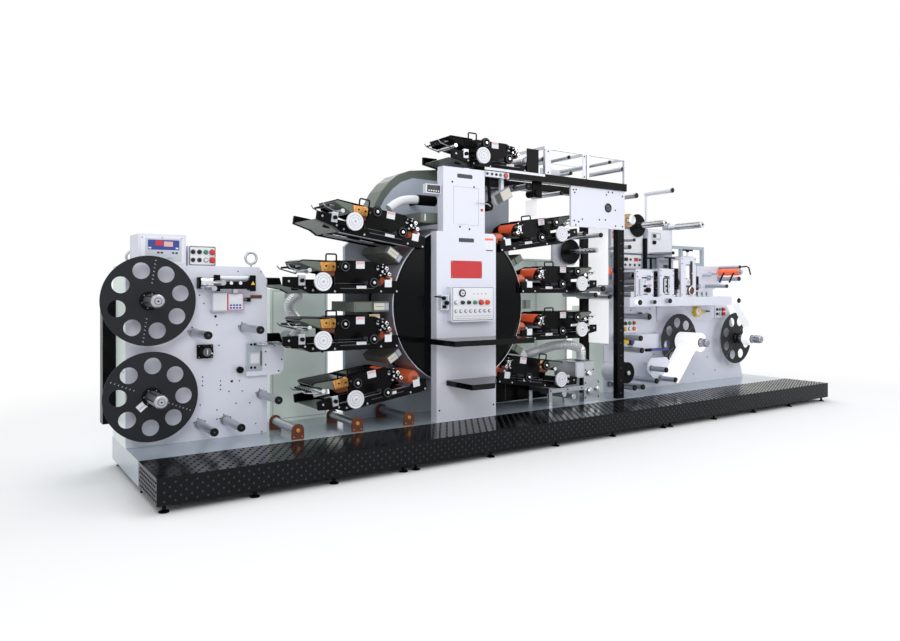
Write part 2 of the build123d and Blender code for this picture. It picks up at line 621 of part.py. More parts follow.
def wall_duct():
    """The S-shaped duct in the gap left of the wall, with a collar at each end on the rear cabinet."""
    points = [(DRUM_X + x, WALL_DUCT_PLANE, DRUM_Z + z) for x, z in WALL_DUCT]
    body = duct(points, WALL_DUCT_RADIUS, WALL_DUCT_BEND)
    for x, y, z in (points[0], points[-1]):
        body += rod(x, z, WALL_DUCT_RADIUS + WALL_DUCT_COLLAR, y, CABINET_BACK - REAR_CABINET_DEPTH)
    return body


def blower():
    """The blower by the column's head: motor on a bar from the wall, with its elbow duct."""
    x0, x1, z = BLOWER
    middle = (x0 + x1) / 2
    motor = Pos(DRUM_X + middle, BLOWER_PLANE, DRUM_Z + z) * Rot(0, 90, 0) * Cylinder(BLOWER_RADIUS,
                                                                                      x1 - x0)
    bar = rod(DRUM_X + middle, DRUM_Z + z, BLOWER_RADIUS / 2, BLOWER_PLANE, WALL_FACE)
    points = [(DRUM_X + x, BLOWER_PLANE, DRUM_Z + h) for x, h in BLOWER_DUCT]
    return motor + bar + duct(points, BLOWER_DUCT_RADIUS, DUCT_BEND)


def air_ducts():
    """The silver air ducts and the blower."""
    save("air_ducts", stand_duct(), wall_duct(), blower())


AIR_SHAFT_LEAVES = 6
LEAF_WIDTH = 9.0
LEAF_RISE = 2.0


def reel(x, z, face, shaft_front, turn):
    """A reel disc with lightening holes on its air shaft, and the spindle into the face plate."""
    disc = rod(x, z, REEL_RADIUS, REEL_PLANE, REEL_PLANE + REEL_THICKNESS)
    for k in range(REEL_HOLES):
        a = math.radians(turn + 360.0 * k / REEL_HOLES)
        disc -= rod(x + REEL_HOLE_CIRCLE * math.cos(a), z + REEL_HOLE_CIRCLE * math.sin(a),
                    REEL_HOLE_RADIUS,
                    REEL_PLANE - 1, REEL_PLANE + REEL_THICKNESS + 1)
    r = AIR_SHAFT_RADIUS
    s = SPINDLE_RADIUS
    y1 = REEL_PLANE + 1
    y2 = face + CABINET_PLATE - 1
    shaft = turned(x, z, [(0, shaft_front), (r * 0.8, shaft_front), (r, shaft_front + r * 0.2), (r, y1),
                          (s, y1), (s, y2), (0, y2)])
    for k in range(AIR_SHAFT_LEAVES):
        leaf = box(r - LEAF_RISE, r + LEAF_RISE, shaft_front + r, REEL_PLANE - r,
                   -LEAF_WIDTH / 2, LEAF_WIDTH / 2)
        shaft += Pos(x, 0, z) * Rot(0, -turn - 360.0 * k / AIR_SHAFT_LEAVES, 0) * leaf
    return disc + shaft


LEFT_STEP_DOWN = 90.0
GUARD_X = -85.0
GUARD_BOTTOM = 320.0
GUARD_TOP = 1180.0
GUARD_FRONT = CABINET_BACK - 110.0


def left_stand():
    """The reel stand at the left: face plate with a cut corner, rear guard and two reels."""
    outline = [(0, BASE_TOP), (LEFT_WIDTH, BASE_TOP), (LEFT_WIDTH, LEFT_TOP - LEFT_STEP_DOWN),
               (LEFT_WIDTH - CABINET_SET_IN, LEFT_TOP), (0, LEFT_TOP)]
    face = plate(outline, CABINET_FACE, CABINET_FACE + CABINET_PLATE)
    for x, z in LEFT_REELS:
        face -= rod(x, z, SPINDLE_RADIUS + SEAT_GAP, CABINET_FACE - 1, CABINET_FACE + CABINET_PLATE + 1)
    save("left_plate", face)
    save("rear_guard", box(GUARD_X, 0, GUARD_FRONT, CABINET_BACK, GUARD_BOTTOM, GUARD_TOP))
    for name, (x, z), turn, front in zip(("left_reel_upper", "left_reel_lower"), LEFT_REELS, (14.0, -2.0),
                                         (BED_FACE, BED_FACE - 25)):
        save(name, reel(x, z, CABINET_FACE, front, turn))


GUIDE_CLEARANCE = 30.0
GUIDE_LEFT = LEFT_REELS[0][0] + REEL_RADIUS + GUIDE_CLEARANCE
GUIDE_RIGHT = LEFT_WIDTH - 119.0
GUIDE_BOTTOM = LEFT_TOP - 176.0
GUIDE_TOP = LEFT_TOP - 62.0
GUIDE_CHEEK = 22.0
GUIDE_ROLLER_RADIUS = 18.0
GAUGE_X = LEFT_WIDTH - 451.0
GAUGE_BOX = (GAUGE_X - 54.0, GAUGE_X + 54.0, LEFT_TOP - 643.0, LEFT_TOP - 548.0)
GAUGE_KNOB_Z = LEFT_TOP - 596.0
GAUGE_THICKNESS = 20.0
BRAKE_KNOB = (LEFT_WIDTH - 210.0, LEFT_TOP - 738.0)
GAUGE_KNOB = (45.0, 50.0)
SMALL_KNOB = (24.0, 50.0)
WEB_KNOB = (36.0, 40.0)
WEB_KNOBS = ((519.0, 774.0), (649.0, 760.0))
BAR_GAUGE = (1470.0, 801.0, 50.0, 38.0)
NAME_BAR_THICKNESS = 12.0
TABLE_LEFT = LEFT_WIDTH - 164.0
TABLE_RIGHT = LEFT_WIDTH + 118.0
TABLE_BOTTOM = LEFT_TOP - 787.0
TABLE_TOP = LEFT_TOP - 547.0
TABLE_CORNER = 38.0
CONTROLLER = (77.0, 385.0, 210.0)
BUTTON_BOX = (402.0, 589.0, 140.0)
BUTTON_BOX_DEPTH = 135.0
CONTROLLER_DEPTH = 275.0
TENSION_METER = (LEFT_WIDTH - 408.0, LEFT_WIDTH - 192.0, LEFT_TOP - 312.0, LEFT_TOP - 188.0)
EYE_BOLTS = ((107.0, FRAME_BACK - 146.3), (LEFT_WIDTH - 100.0, CABINET_FACE + 60.0))
EYE_RADIUS = 41.0
EYE_BAR_RADIUS = 9.0
EYE_CENTRE = 66.0


def knob(x, z, size, back):
    """A turned knob on a thinner neck."""
    radius, length = size
    return turned(x, z, [(0, back - length), (radius * 0.85, back - length), (radius, back - length * 0.85),
                         (radius, back - length * 0.4), (radius / 2, back - length * 0.3), (radius / 2,
                                                                                            back),
                         (0, back)])


def right_knobs():
    """The two web knobs and the round gauge on the right-hand face plate."""
    y = CABINET_FACE
    knobs = [knob(RIGHT_LEFT + x, BASE_TOP + z, WEB_KNOB, y) for x, z in WEB_KNOBS]
    x, z, r, thick = BAR_GAUGE
    return knobs + [rod(RIGHT_LEFT + x, BASE_TOP + z, r, y - NAME_BAR_THICKNESS - thick,
                        y - NAME_BAR_THICKNESS)]


def left_stand_fittings():
    """Web guide, tension meter and gauge, splice table, the boxes on top and the lifting eyes."""
    y = CABINET_FACE
    bracket = box(GUIDE_LEFT, GUIDE_RIGHT, REEL_PLANE, REEL_PLANE + CABINET_PLATE, GUIDE_BOTTOM, GUIDE_TOP)
    for x in (GUIDE_LEFT, GUIDE_RIGHT - GUIDE_CHEEK):
        bracket += box(x, x + GUIDE_CHEEK, REEL_PLANE, y, GUIDE_BOTTOM, GUIDE_TOP)
    save("web_guide_bracket", bracket)
    x0, x1, z0, z1 = GAUGE_BOX
    gauge_face = y - GAUGE_THICKNESS
    save("tension_gauge",
         box(x0, x1, gauge_face, y, z0, z1) + knob(GAUGE_X, GAUGE_KNOB_Z, GAUGE_KNOB, gauge_face),
         knob(*BRAKE_KNOB, SMALL_KNOB, y), *right_knobs())
    c = TABLE_CORNER
    table = [(TABLE_LEFT, TABLE_BOTTOM), (TABLE_RIGHT - c, TABLE_BOTTOM), (TABLE_RIGHT, TABLE_BOTTOM + c),
             (TABLE_RIGHT, TABLE_TOP - c), (TABLE_RIGHT - c, TABLE_TOP), (TABLE_LEFT, TABLE_TOP)]
    save("splice_table", plate(table, y - 30, y), web_plate(), lay_plate())
    a0, a1, high = CONTROLLER
    b0, b1, low = BUTTON_BOX
    m0, m1, mz0, mz1 = TENSION_METER
    save("control_boxes", box(a0, a1, y + 5, y + 5 + CONTROLLER_DEPTH, LEFT_TOP, LEFT_TOP + high),
         box(b0, b1, y + 5, y + 5 + BUTTON_BOX_DEPTH, LEFT_TOP, LEFT_TOP + low),
         box(m0, m1, y - 50, y, mz0, mz1),
         *column_fittings())
    rings = []
    for x, ey in EYE_BOLTS:
        ring = Pos(x, ey, LEFT_TOP + EYE_CENTRE) * Rot(90, 0, 0) * Torus(EYE_RADIUS, EYE_BAR_RADIUS)
        stem = Pos(x, ey, LEFT_TOP + EYE_CENTRE / 4) * Cylinder(EYE_BAR_RADIUS * 0.8, EYE_CENTRE / 2)
        collar = Pos(x, ey, LEFT_TOP + EYE_BAR_RADIUS) * Cylinder(EYE_BAR_RADIUS * 2, EYE_BAR_RADIUS * 2)
        rings.append(ring + stem + collar)
    save("eye_bolts", *rings)


SOCKET_BOX = (COLUMN_LEFT + 12.0, COLUMN_LEFT + 88.0, CONSOLE_BOTTOM + 97.0, CONSOLE_TOP - 71.0)
SOCKET_DEPTH = 45.0
STRIP_BOX = (UPPER_RIGHT + 4.0, UPPER_RIGHT + 250.0, PORTAL_BEAM_BOTTOM - 12.0, PORTAL_BEAM_BOTTOM + 36.0)
STRIP_DEPTH = 15.0
DISPLAY_BOX = (UPPER_LEFT - 140.0, UPPER_LEFT, COLUMN_TOP - 222.0, COLUMN_TOP - 147.0)
DISPLAY_DEPTH = 45.0
SWING_BOX = (UPPER_RIGHT + 238.0, PORTAL_BEAM_BOTTOM - 150.0, 190.0, 96.0, 28.0)
SWING_BOX_DEPTH = 80.0
SWING_BAR = 30.0


def column_fittings():
    """Plug socket beside the console, display and button strip on the column's head, swing box."""
    x0, x1, z0, z1 = SOCKET_BOX
    s0, s1, t0, t1 = STRIP_BOX
    d0, d1, e0, e1 = DISPLAY_BOX
    x, z, wide, high, angle = SWING_BOX
    bar_back = PORTAL_FACE + PORTAL_DEPTH
    swing = Pos(x, bar_back, z) * Rot(0, -angle, 0) * Box(wide, SWING_BOX_DEPTH, high)
    swing += box(x - SWING_BAR / 2, x + SWING_BAR / 2, bar_back - SWING_BAR, bar_back, z,
                 PORTAL_BEAM_BOTTOM)
    return (box(x0, x1, COLUMN_FACE - SOCKET_DEPTH, COLUMN_FACE, z0, z1),
            box(s0, s1, PORTAL_FACE - STRIP_DEPTH, PORTAL_FACE, t0, t1),
            box(d0, d1, COLUMN_BACK - DISPLAY_DEPTH, COLUMN_BACK, e0, e1), swing)


FLOOR_ROLLER_X = (LEFT_WIDTH + 88.0, LEFT_WIDTH + 552.0, LEFT_WIDTH + 995.0)
FLOOR_ROLLER_RISE = 62.0
FLOOR_BRACKET = 46.0
FLOOR_ROLLER_FRONT = BED_FACE - 15.0
FLOOR_ROLLER_BACK = DRUM_BACK + 2.0
NIP_LEFT = DRUM_X + 986.0
NIP_RIGHT = DRUM_X + 1632.0
NIP_TALL = DRUM_X + 1428.0
NIP_LOW = 150.0
NIP_HIGH = 374.0
NIP_LEG = 40.0
NIP_SHOULDER = 190.0
NIP_TROUGH = (NIP_TALL - 110.0, NIP_TALL + 40.0)


def nip_stand():
    """The steel stand below the right-hand units: two legged cheeks, a trough and a tie, open below."""
    z = BASE_TOP
    outline = [(NIP_LEFT, z), (NIP_LEFT + NIP_LEG, z), (NIP_LEFT + NIP_LEG, z + NIP_LOW - NIP_LEG),
               (NIP_TALL, z + NIP_LOW - NIP_LEG), (NIP_TALL, z), (NIP_RIGHT, z), (NIP_RIGHT,
                                                                                  z + NIP_SHOULDER),
               (NIP_RIGHT - 70, z + NIP_SHOULDER), (NIP_RIGHT - 70, z + NIP_HIGH), (NIP_TALL, z + NIP_HIGH),
               (NIP_TALL, z + NIP_LOW), (NIP_LEFT, z + NIP_LOW)]
    stand = plate(outline, CARRIAGE_FACE, CARRIAGE_FACE + CARRIAGE_PLATE)
    stand += plate(outline, CARRIAGE_BACK - CARRIAGE_PLATE, CARRIAGE_BACK)
    y0 = CARRIAGE_FACE
    y1 = CARRIAGE_BACK
    high = z + NIP_HIGH
    stand += box(NIP_TROUGH[0], NIP_TROUGH[1], y0, y1, high - 150, high)
    stand += box(NIP_TALL, NIP_RIGHT - 70, y0, y1, high - CARRIAGE_PLATE, high)
    stand += box(NIP_LEFT, NIP_LEFT + NIP_LEG, y0, y1, z + NIP_LOW - NIP_LEG, z + NIP_LOW)
    return stand


def floor_rollers():
    """The round-backed brackets of three web rollers low on the base frame, and the nip stand."""
    brackets = []
    for x in FLOOR_ROLLER_X:
        z = BASE_TOP + FLOOR_ROLLER_RISE
        r = FLOOR_BRACKET
        for y in (FLOOR_ROLLER_FRONT, FLOOR_ROLLER_BACK):
            foot = box(x - r, x + r, y, y + CABINET_PLATE, BASE_TOP, z)
            brackets.append(foot + rod(x, z, r, y, y + CABINET_PLATE))
    save("floor_roller_brackets", *brackets, nip_stand())


FLANGE = 9.0
FLANGE_THICKNESS = 12.0
CAP_LENGTH = 8.0
CAP_STEP = 3.0


def idler(x, z, radius, front, back):
    """A cantilevered roller: end cap, turned body, neck and the flange that bolts to the plate."""
    neck = radius * 0.6
    profile = [(0, front), (radius - CAP_STEP, front), (radius - CAP_STEP, front + CAP_LENGTH),
               (radius, front + CAP_LENGTH), (radius, back - FLANGE_THICKNESS * 2), (neck,
                                                                                     back - FLANGE_THICKNESS * 2),
               (neck, back - FLANGE_THICKNESS), (radius + FLANGE, back - FLANGE_THICKNESS),
               (radius + FLANGE, back),
               (0, back)]
    return turned(x, z, profile)


LEFT_ROLLERS = ((LEFT_WIDTH - 525.0, LEFT_TOP - 463.0), (LEFT_WIDTH - 176.0, LEFT_TOP - 439.0),
                (LEFT_WIDTH - 47.0, BASE_TOP + 283.0), (LEFT_WIDTH - 307.0, BASE_TOP + 122.0),
                (LEFT_WIDTH - 485.0, BASE_TOP + 112.0))
RIGHT_ROLLERS = ((295.0, 775.0), (165.0, 565.0), (180.0, 443.0), (75.0, 80.0), (195.0, 79.0), (404.0,
                                                                                               124.0))
LAY_ROLLERS = ((555.0, 225.0), (702.0, 113.0))
RIGHT_ROLLER_FRONT = BED_FACE + 15.0
GUIDE_ROLLERS = ((46.0, 20.0), (106.0, 58.0))
GUIDE_ROLLER_LENGTH = 170.0
HIGH_ROLLER = (PORTAL_RIGHT + 213.0, PORTAL_BEAM_BOTTOM - 15.0)
TOP_ROLLER_RADIUS = 22.0
NIP_ROLLER = (RIGHT_LEFT + 1875.0, BED_PLATE_TOP + 275.0)
NIP_ROLLER_RADIUS = 36.0
NIP_ROLLER_FRONT = CARRIAGE_FACE - 10.0
NIP_PLATE_FACE = CABINET_FACE - 40.0
NIP_SMALL_ROLLERS = ((0.0, 58.0, 18.0), (-16.0, -76.0, 25.0), (-245.0, -160.0, 20.0))


def idler_rollers():
    """Every plain roller that only guides the web, with its end faces on the plates that hold it."""
    r = ROLLER_RADIUS
    rollers = [idler(x, z, r, ROLLER_FRONT, CABINET_FACE) for x, z in LEFT_ROLLERS]
    rollers += [idler(RIGHT_LEFT + x, BASE_TOP + z, r, RIGHT_ROLLER_FRONT, CABINET_FACE) for x,
                z in RIGHT_ROLLERS]
    rollers += [idler(RIGHT_LEFT + x, BASE_TOP + z, r, RIGHT_ROLLER_FRONT, LAY_FACE) for x,
                z in LAY_ROLLERS]
    rollers += [rod(GUIDE_LEFT + x, GUIDE_BOTTOM + z, GUIDE_ROLLER_RADIUS, REEL_PLANE - GUIDE_ROLLER_LENGTH,
                    REEL_PLANE) for x, z in GUIDE_ROLLERS]
    y0 = FLOOR_ROLLER_FRONT + CABINET_PLATE
    rollers += [rod(x, BASE_TOP + FLOOR_ROLLER_RISE, r + 5, y0, FLOOR_ROLLER_BACK) for x in FLOOR_ROLLER_X]
    rollers += [rod(x, z, TOP_ROLLER_RADIUS, TOP_FRAME_FRONT + TOP_BAR, TOP_FRAME_BACK - TOP_BAR)
                for x, z in TOP_ROLLERS]
    x, z = NIP_ROLLER
    rollers.append(rod(x, z, NIP_ROLLER_RADIUS, NIP_ROLLER_FRONT, NIP_PLATE_FACE))
    rollers += [rod(x + dx, z + dz, small, NIP_ROLLER_FRONT, NIP_PLATE_FACE)
                for dx, dz, small in NIP_SMALL_ROLLERS]
    rollers.append(rod(*HIGH_ROLLER, r - 2, RIGHT_ROLLER_FRONT, WALL_FACE))
    save("idler_rollers", *rollers)


REAR_LEFT_CABINET = (LEFT_WIDTH + 149.0, DRUM_X - WALL_HALF - 40.0, BASE_TOP + 1054.0)
REAR_RIGHT_CABINET = (DRUM_X + WALL_HALF + 70.0, PORTAL_RIGHT - POST_WIDTH - 47.0, BASE_TOP + 1353.0)
REAR_CABINET_DEPTH = 120.0
REAR_RIGHT_DEPTH = 180.0
RIGHT_CABINET_RIGHT = RIGHT_LEFT + 2000.0
LOUVRE_WIDTH = 150.0
LOUVRE_HEIGHT = 8.0
LOUVRE_PITCH = 26.0
LOUVRE_DEPTH = 6.0
LOUVRES = 8


def louvred(x0, x1, y0, z1):
    """A closed cabinet with a field of louvre slots low and high on its front."""
    body = box(x0, x1, y0, CABINET_BACK, BASE_TOP, z1)
    middle = (x0 + x1) / 2
    for top in (z1 - LOUVRE_WIDTH, BASE_TOP + LOUVRE_WIDTH * 2.4):
        for k in range(LOUVRES):
            z = top - k * LOUVRE_PITCH
            body -= box(middle - LOUVRE_WIDTH / 2, middle + LOUVRE_WIDTH / 2, y0, y0 + LOUVRE_DEPTH,
                        z - LOUVRE_HEIGHT / 2, z + LOUVRE_HEIGHT / 2)
    return body


def cabinets():
    """The closed cabinets behind the two face plates and the two louvred ones that stand at the back."""
    behind = CABINET_FACE + CABINET_PLATE
    save("cabinets", box(0, LEFT_WIDTH - CABINET_SET_IN, behind, CABINET_BACK, BASE_TOP, LEFT_TOP),
         louvred(REAR_LEFT_CABINET[0], REAR_LEFT_CABINET[1], CABINET_BACK - REAR_CABINET_DEPTH,
                 REAR_LEFT_CABINET[2]),
         louvred(REAR_RIGHT_CABINET[0], REAR_RIGHT_CABINET[1], CABINET_BACK - REAR_RIGHT_DEPTH,
                 REAR_RIGHT_CABINET[2]),
         box(RIGHT_LEFT, RIGHT_CABINET_RIGHT, behind, CABINET_BACK, BASE_TOP, RIGHT_TOP))


HIGH_ARM = 30.0


def portal():
    """The black portal over the right-hand units, in front and at the back."""
    x0 = UPPER_RIGHT
    x1 = PORTAL_RIGHT
    front = PORTAL_FACE
    back = WALL_FACE - REAR_BEAM_LAP
    low = PORTAL_BEAM_BOTTOM
    high = PORTAL_BEAM_TOP
    frame = box(x0, x1, front, front + PORTAL_DEPTH, low, high)
    frame += box(x1 - POST_WIDTH, x1, front + POST_SET_BACK, front + PORTAL_DEPTH, BASE_TOP, low)
    frame += box(x0, x1, back, back + PORTAL_DEPTH, low, high)
    frame += box(x1 - POST_WIDTH, x1, back + POST_SET_BACK, back + PORTAL_DEPTH, BASE_TOP, low)
    for x in (x0, x1 - POST_WIDTH):
        frame += box(x, x + POST_WIDTH, front, back + PORTAL_DEPTH, low, high)
    x, z = HIGH_ROLLER
    frame += box(x1, x + ROLLER_RADIUS, WALL_FACE, WALL_FACE + HIGH_ARM,
                 z - ROLLER_RADIUS + 7, z + ROLLER_RADIUS - 7)
    save("portal", frame)


TOP_FRAME_FRONT = PORTAL_FACE + 10.0
TOP_FRAME_BACK = WALL_FACE - REAR_BEAM_LAP + PORTAL_DEPTH - 10.0
TOP_MIDDLE = (TOP_FRAME_LEFT + PORTAL_RIGHT) / 2
TOP_ROLLERS = ((TOP_FRAME_LEFT + TOP_BAR / 2, PORTAL_BEAM_TOP + 140),
               (TOP_MIDDLE + TOP_BAR / 2, PORTAL_BEAM_TOP + 120),
               (PORTAL_RIGHT - TOP_BAR / 2, PORTAL_BEAM_TOP + 150))


def top_frame():
    """The open idler frame on the portal: posts, rails and cross bars."""
    z0 = PORTAL_BEAM_TOP
    z1 = z0 + TOP_FRAME_HEIGHT
    b = TOP_BAR
    columns = (TOP_FRAME_LEFT, TOP_MIDDLE, PORTAL_RIGHT - b)
    frame = None
    for y in (TOP_FRAME_FRONT, TOP_FRAME_BACK - b):
        rail = box(TOP_FRAME_LEFT, PORTAL_RIGHT, y, y + b, z1 - b, z1)
        frame = rail if frame is None else frame + rail
        for x in columns:
            frame += box(x, x + b, y, y + b, z0, z1)
    for x in columns:
        frame += box(x, x + b, TOP_FRAME_FRONT, TOP_FRAME_BACK, z1 - b, z1)
    save("top_frame", frame)


HANGING_LEFT = DRUM_X + 1175.0
HANGING_DROP = 370.0
HANGING_HOLE = (DRUM_X + 1657.0, PORTAL_BEAM_BOTTOM - 173.0, 26.0)


def hanging_panel():
    """The plate under the portal's beam, in front of the post, with one round hole."""
    y0 = PORTAL_FACE + 15
    bottom = PORTAL_BEAM_BOTTOM - HANGING_DROP
    panel = box(HANGING_LEFT, PORTAL_RIGHT - 14, y0, y0 + 20, bottom, PORTAL_BEAM_BOTTOM)
    x, z, r = HANGING_HOLE
    save("hanging_panel", panel - rod(x, z, r, y0 - 1, y0 + 21))


MIDDLE_REEL = (DRUM_X + 1531.0, DRUM_Z + 501.0)
MIDDLE_REEL_RADIUS = 121.0
ARM_HALF = 60.0
D_PLATE = (-209.0, 114.0, 133.0, 112.0)


def middle_reel():
    """The small reel by the portal's post, on its D-shaped plate held by the rear post."""
    x, z = MIDDLE_REEL
    y2 = WALL_FACE + 30
    arm = box(x - ARM_HALF, PORTAL_RIGHT - POST_WIDTH, y2, y2 + 30, z - ARM_HALF, z + ARM_HALF)
    arm += box(x - ARM_HALF, x + ARM_HALF, CABINET_FACE + 35, y2, z - ARM_HALF, z + ARM_HALF)
    left, right, down, up = D_PLATE
    face = box(x + left, x + right, CABINET_FACE + 20, CABINET_FACE + 40, z - down, z + up)
    arm += fillet(face.edges().filter_by(Axis.Y), ARM_HALF)
    arm -= rod(x, z, SPINDLE_RADIUS + SEAT_GAP, CABINET_FACE + 10, CABINET_FACE + 60)
    save("middle_reel_arm", arm)
    y0 = CABINET_FACE - 20
    shaft = SPINDLE_RADIUS - 3
    profile = [(0, BED_FACE - 5), (shaft, BED_FACE - 5), (shaft, y0), (MIDDLE_REEL_RADIUS, y0),
               (MIDDLE_REEL_RADIUS, y0 + 10), (SPINDLE_RADIUS, y0 + 10), (SPINDLE_RADIUS,
                                                                          CABINET_FACE + 50),
               (0, CABINET_FACE + 50)]
    save("middle_reel", turned(x, z, profile))


RIGHT_REELS = ((RIGHT_LEFT + 1070.0, BASE_TOP + 488.0), (RIGHT_LEFT + 2117.0, BASE_TOP + 481.0))
RIGHT_SHAFT_FRONTS = (BED_FACE - 105.0, BED_FACE - 65.0)
STATION_FACE = CARRIAGE_FACE + 20.0
STATION_BACK = CABINET_FACE + 40.0
STATION_PLATE = 26.0
STATIONS = ((160.0, 421.0, 252.0), (519.0, 748.0, 266.0), (861.0, 1113.0, 397.0))
STATION_WINDOW = 46.0
WINDOW_SILL = 24.0
WINDOW_LINTEL = 50.0
DIE_RADIUS = 46.0
ANVIL_RADIUS = 42.0
DIE_JOURNAL_RADIUS = 18.0
BRIDGE_THICKNESS = 24.0
PRESSURE_SCREW_RADIUS = 9.0
PRESSURE_SCREW_HEIGHT = 60.0


def die_station(x0, x1, rise):
    """One die station: windowed cheeks with bearing blocks and a bridge across them."""
    z0 = BED_PLATE_TOP
    z1 = z0 + rise
    middle = (x0 + x1) / 2
    body = None
    for y in (STATION_FACE, STATION_BACK - STATION_PLATE):
        cheek = box(x0, x1, y, y + STATION_PLATE, z0, z1)
        cheek -= box(middle - STATION_WINDOW, middle + STATION_WINDOW, y, y + STATION_PLATE,
                     z0 + WINDOW_SILL, z1 - WINDOW_LINTEL)
        for z in die_heights():
            block = box(middle - STATION_WINDOW, middle + STATION_WINDOW, y, y + STATION_PLATE,
                        z - DIE_JOURNAL_RADIUS * 1.8, z + DIE_JOURNAL_RADIUS * 1.8)
            cheek += block - rod(middle, z, DIE_JOURNAL_RADIUS + SEAT_GAP, y, y + STATION_PLATE)
        body = cheek if body is None else body + cheek
    body += box(x0, x1, STATION_FACE, STATION_BACK, z1, z1 + BRIDGE_THICKNESS)
    return body


def pressure_screw(x, z):
    """The screw with its nut, over the front cheek of the last station."""
    y = STATION_FACE + STATION_PLATE / 2
    r = PRESSURE_SCREW_RADIUS
    screw = Pos(x, y, z + PRESSURE_SCREW_HEIGHT / 2) * Cylinder(r, PRESSURE_SCREW_HEIGHT)
    return screw + Pos(x, y, z + r) * Cylinder(r * 2, r * 2)


def die_heights():
    """The axes of the anvil and of the die above it, a running gap apart."""
    anvil = BED_PLATE_TOP + WINDOW_SILL + ANVIL_RADIUS
    return (anvil, anvil + ANVIL_RADIUS + DIE_RADIUS + 1)


def die_cylinder(x, z, radius):
    """A die or anvil cylinder with its journals in the bearing blocks."""
    y0 = STATION_FACE + 2
    y1 = STATION_BACK - 2
    p = STATION_PLATE
    profile = [(0, y0), (DIE_JOURNAL_RADIUS, y0), (DIE_JOURNAL_RADIUS, y0 + p + 4), (radius, y0 + p + 4),
               (radius, y1 - p - 4), (DIE_JOURNAL_RADIUS, y1 - p - 4), (DIE_JOURNAL_RADIUS, y1), (0, y1)]
    return turned(x, z, profile)


MAST = (60.0, 1150.0)
MAST_TOP = BED_PLATE_TOP + 736.0
MAST_FACE = CABINET_FACE + 60.0
MAST_THICKNESS = 50.0
UPPER_BOXES = ((100.0, 590.0, 460.0, 710.0, 60.0), (621.0, 1018.0, 460.0, 722.0, 100.0),
               (185.0, 566.0, 297.0, 442.0, 60.0))
WINDER_SHAFTS = ((490.0, 752.0, 32.0), (1093.0, 767.0, 32.0))
CORE_SHAFT = (100.0, 768.0, 45.0)
CORE_ROLL_RADIUS = 65.0
CORE_ROLL_BACK = MAST_FACE - 65.0
BOSS_RADIUS = 50.0
TALL_POST = (640.0, 660.0)
TALL_ROLLER_RISE = 1101.0
TALL_POST_BACK = 60.0
GUARD_POST = RIGHT_LEFT + 1340.0
GUARD_RIGHT = RIGHT_LEFT + 1761.0
GUARD_RAIL = 35.0
GUARD_HIGH = BED_PLATE_TOP + 571.0
GUARD_LOW = BED_PLATE_TOP + 350.0
NAME_BAR = (810.0, 1820.0, 699.0, 877.0)
SIDE_BOXES = ((231.0, 482.0, 596.0, 736.0), (1822.0, 2010.0, 717.0, 865.0))
SIDE_BOX_DEPTH = 20.0
WEB_PLATE = (369.0, 901.0, 426.0, 577.0)
WEB_FACE = REEL_PLANE + 36.0
WEB_STANDS = ((400.0, 460.0), (600.0, 540.0))
LAY_PLATE = ((504.0, 190.0), (504.0, 280.0), (560.0, 330.0), (800.0, 330.0), (883.0, 260.0), (883.0, 70.0),
             (640.0, 70.0), (560.0, 150.0))
LAY_FACE = REEL_PLANE - 40.0
LAY_STANDS = ((620.0, 273.0), (730.0, 93.0))
STAND_OFF_RADIUS = 14.0
LOW_REEL = (RIGHT_LEFT + 48.0, BASE_TOP + 223.0)
LOW_REEL_RADIUS = 105.0
LOW_ROLL_RADIUS = 95.0
LOW_REEL_FRONT = CARRIAGE_FACE + 40.0


def stand_offs(places, front):
    """Round distance pieces between a small plate and the face plate."""
    return [rod(RIGHT_LEFT + x, BASE_TOP + z, STAND_OFF_RADIUS, front, CABINET_FACE) for x, z in places]


def web_plate():
    """The narrow plate behind the left of the two right-hand reels."""
    x0, x1, z0, z1 = WEB_PLATE
    back = WEB_FACE + CABINET_PLATE
    body = box(RIGHT_LEFT + x0, RIGHT_LEFT + x1, WEB_FACE, back, BASE_TOP + z0, BASE_TOP + z1)
    for stand in stand_offs(WEB_STANDS, back):
        body += stand
    return body


def lay_plate():
    """The plate with cut corners that carries the two lay-on rollers."""
    back = LAY_FACE + CABINET_PLATE
    body = plate([(RIGHT_LEFT + x, BASE_TOP + z) for x, z in LAY_PLATE], LAY_FACE, back)
    for stand in stand_offs(LAY_STANDS, back):
        body += stand
    return body


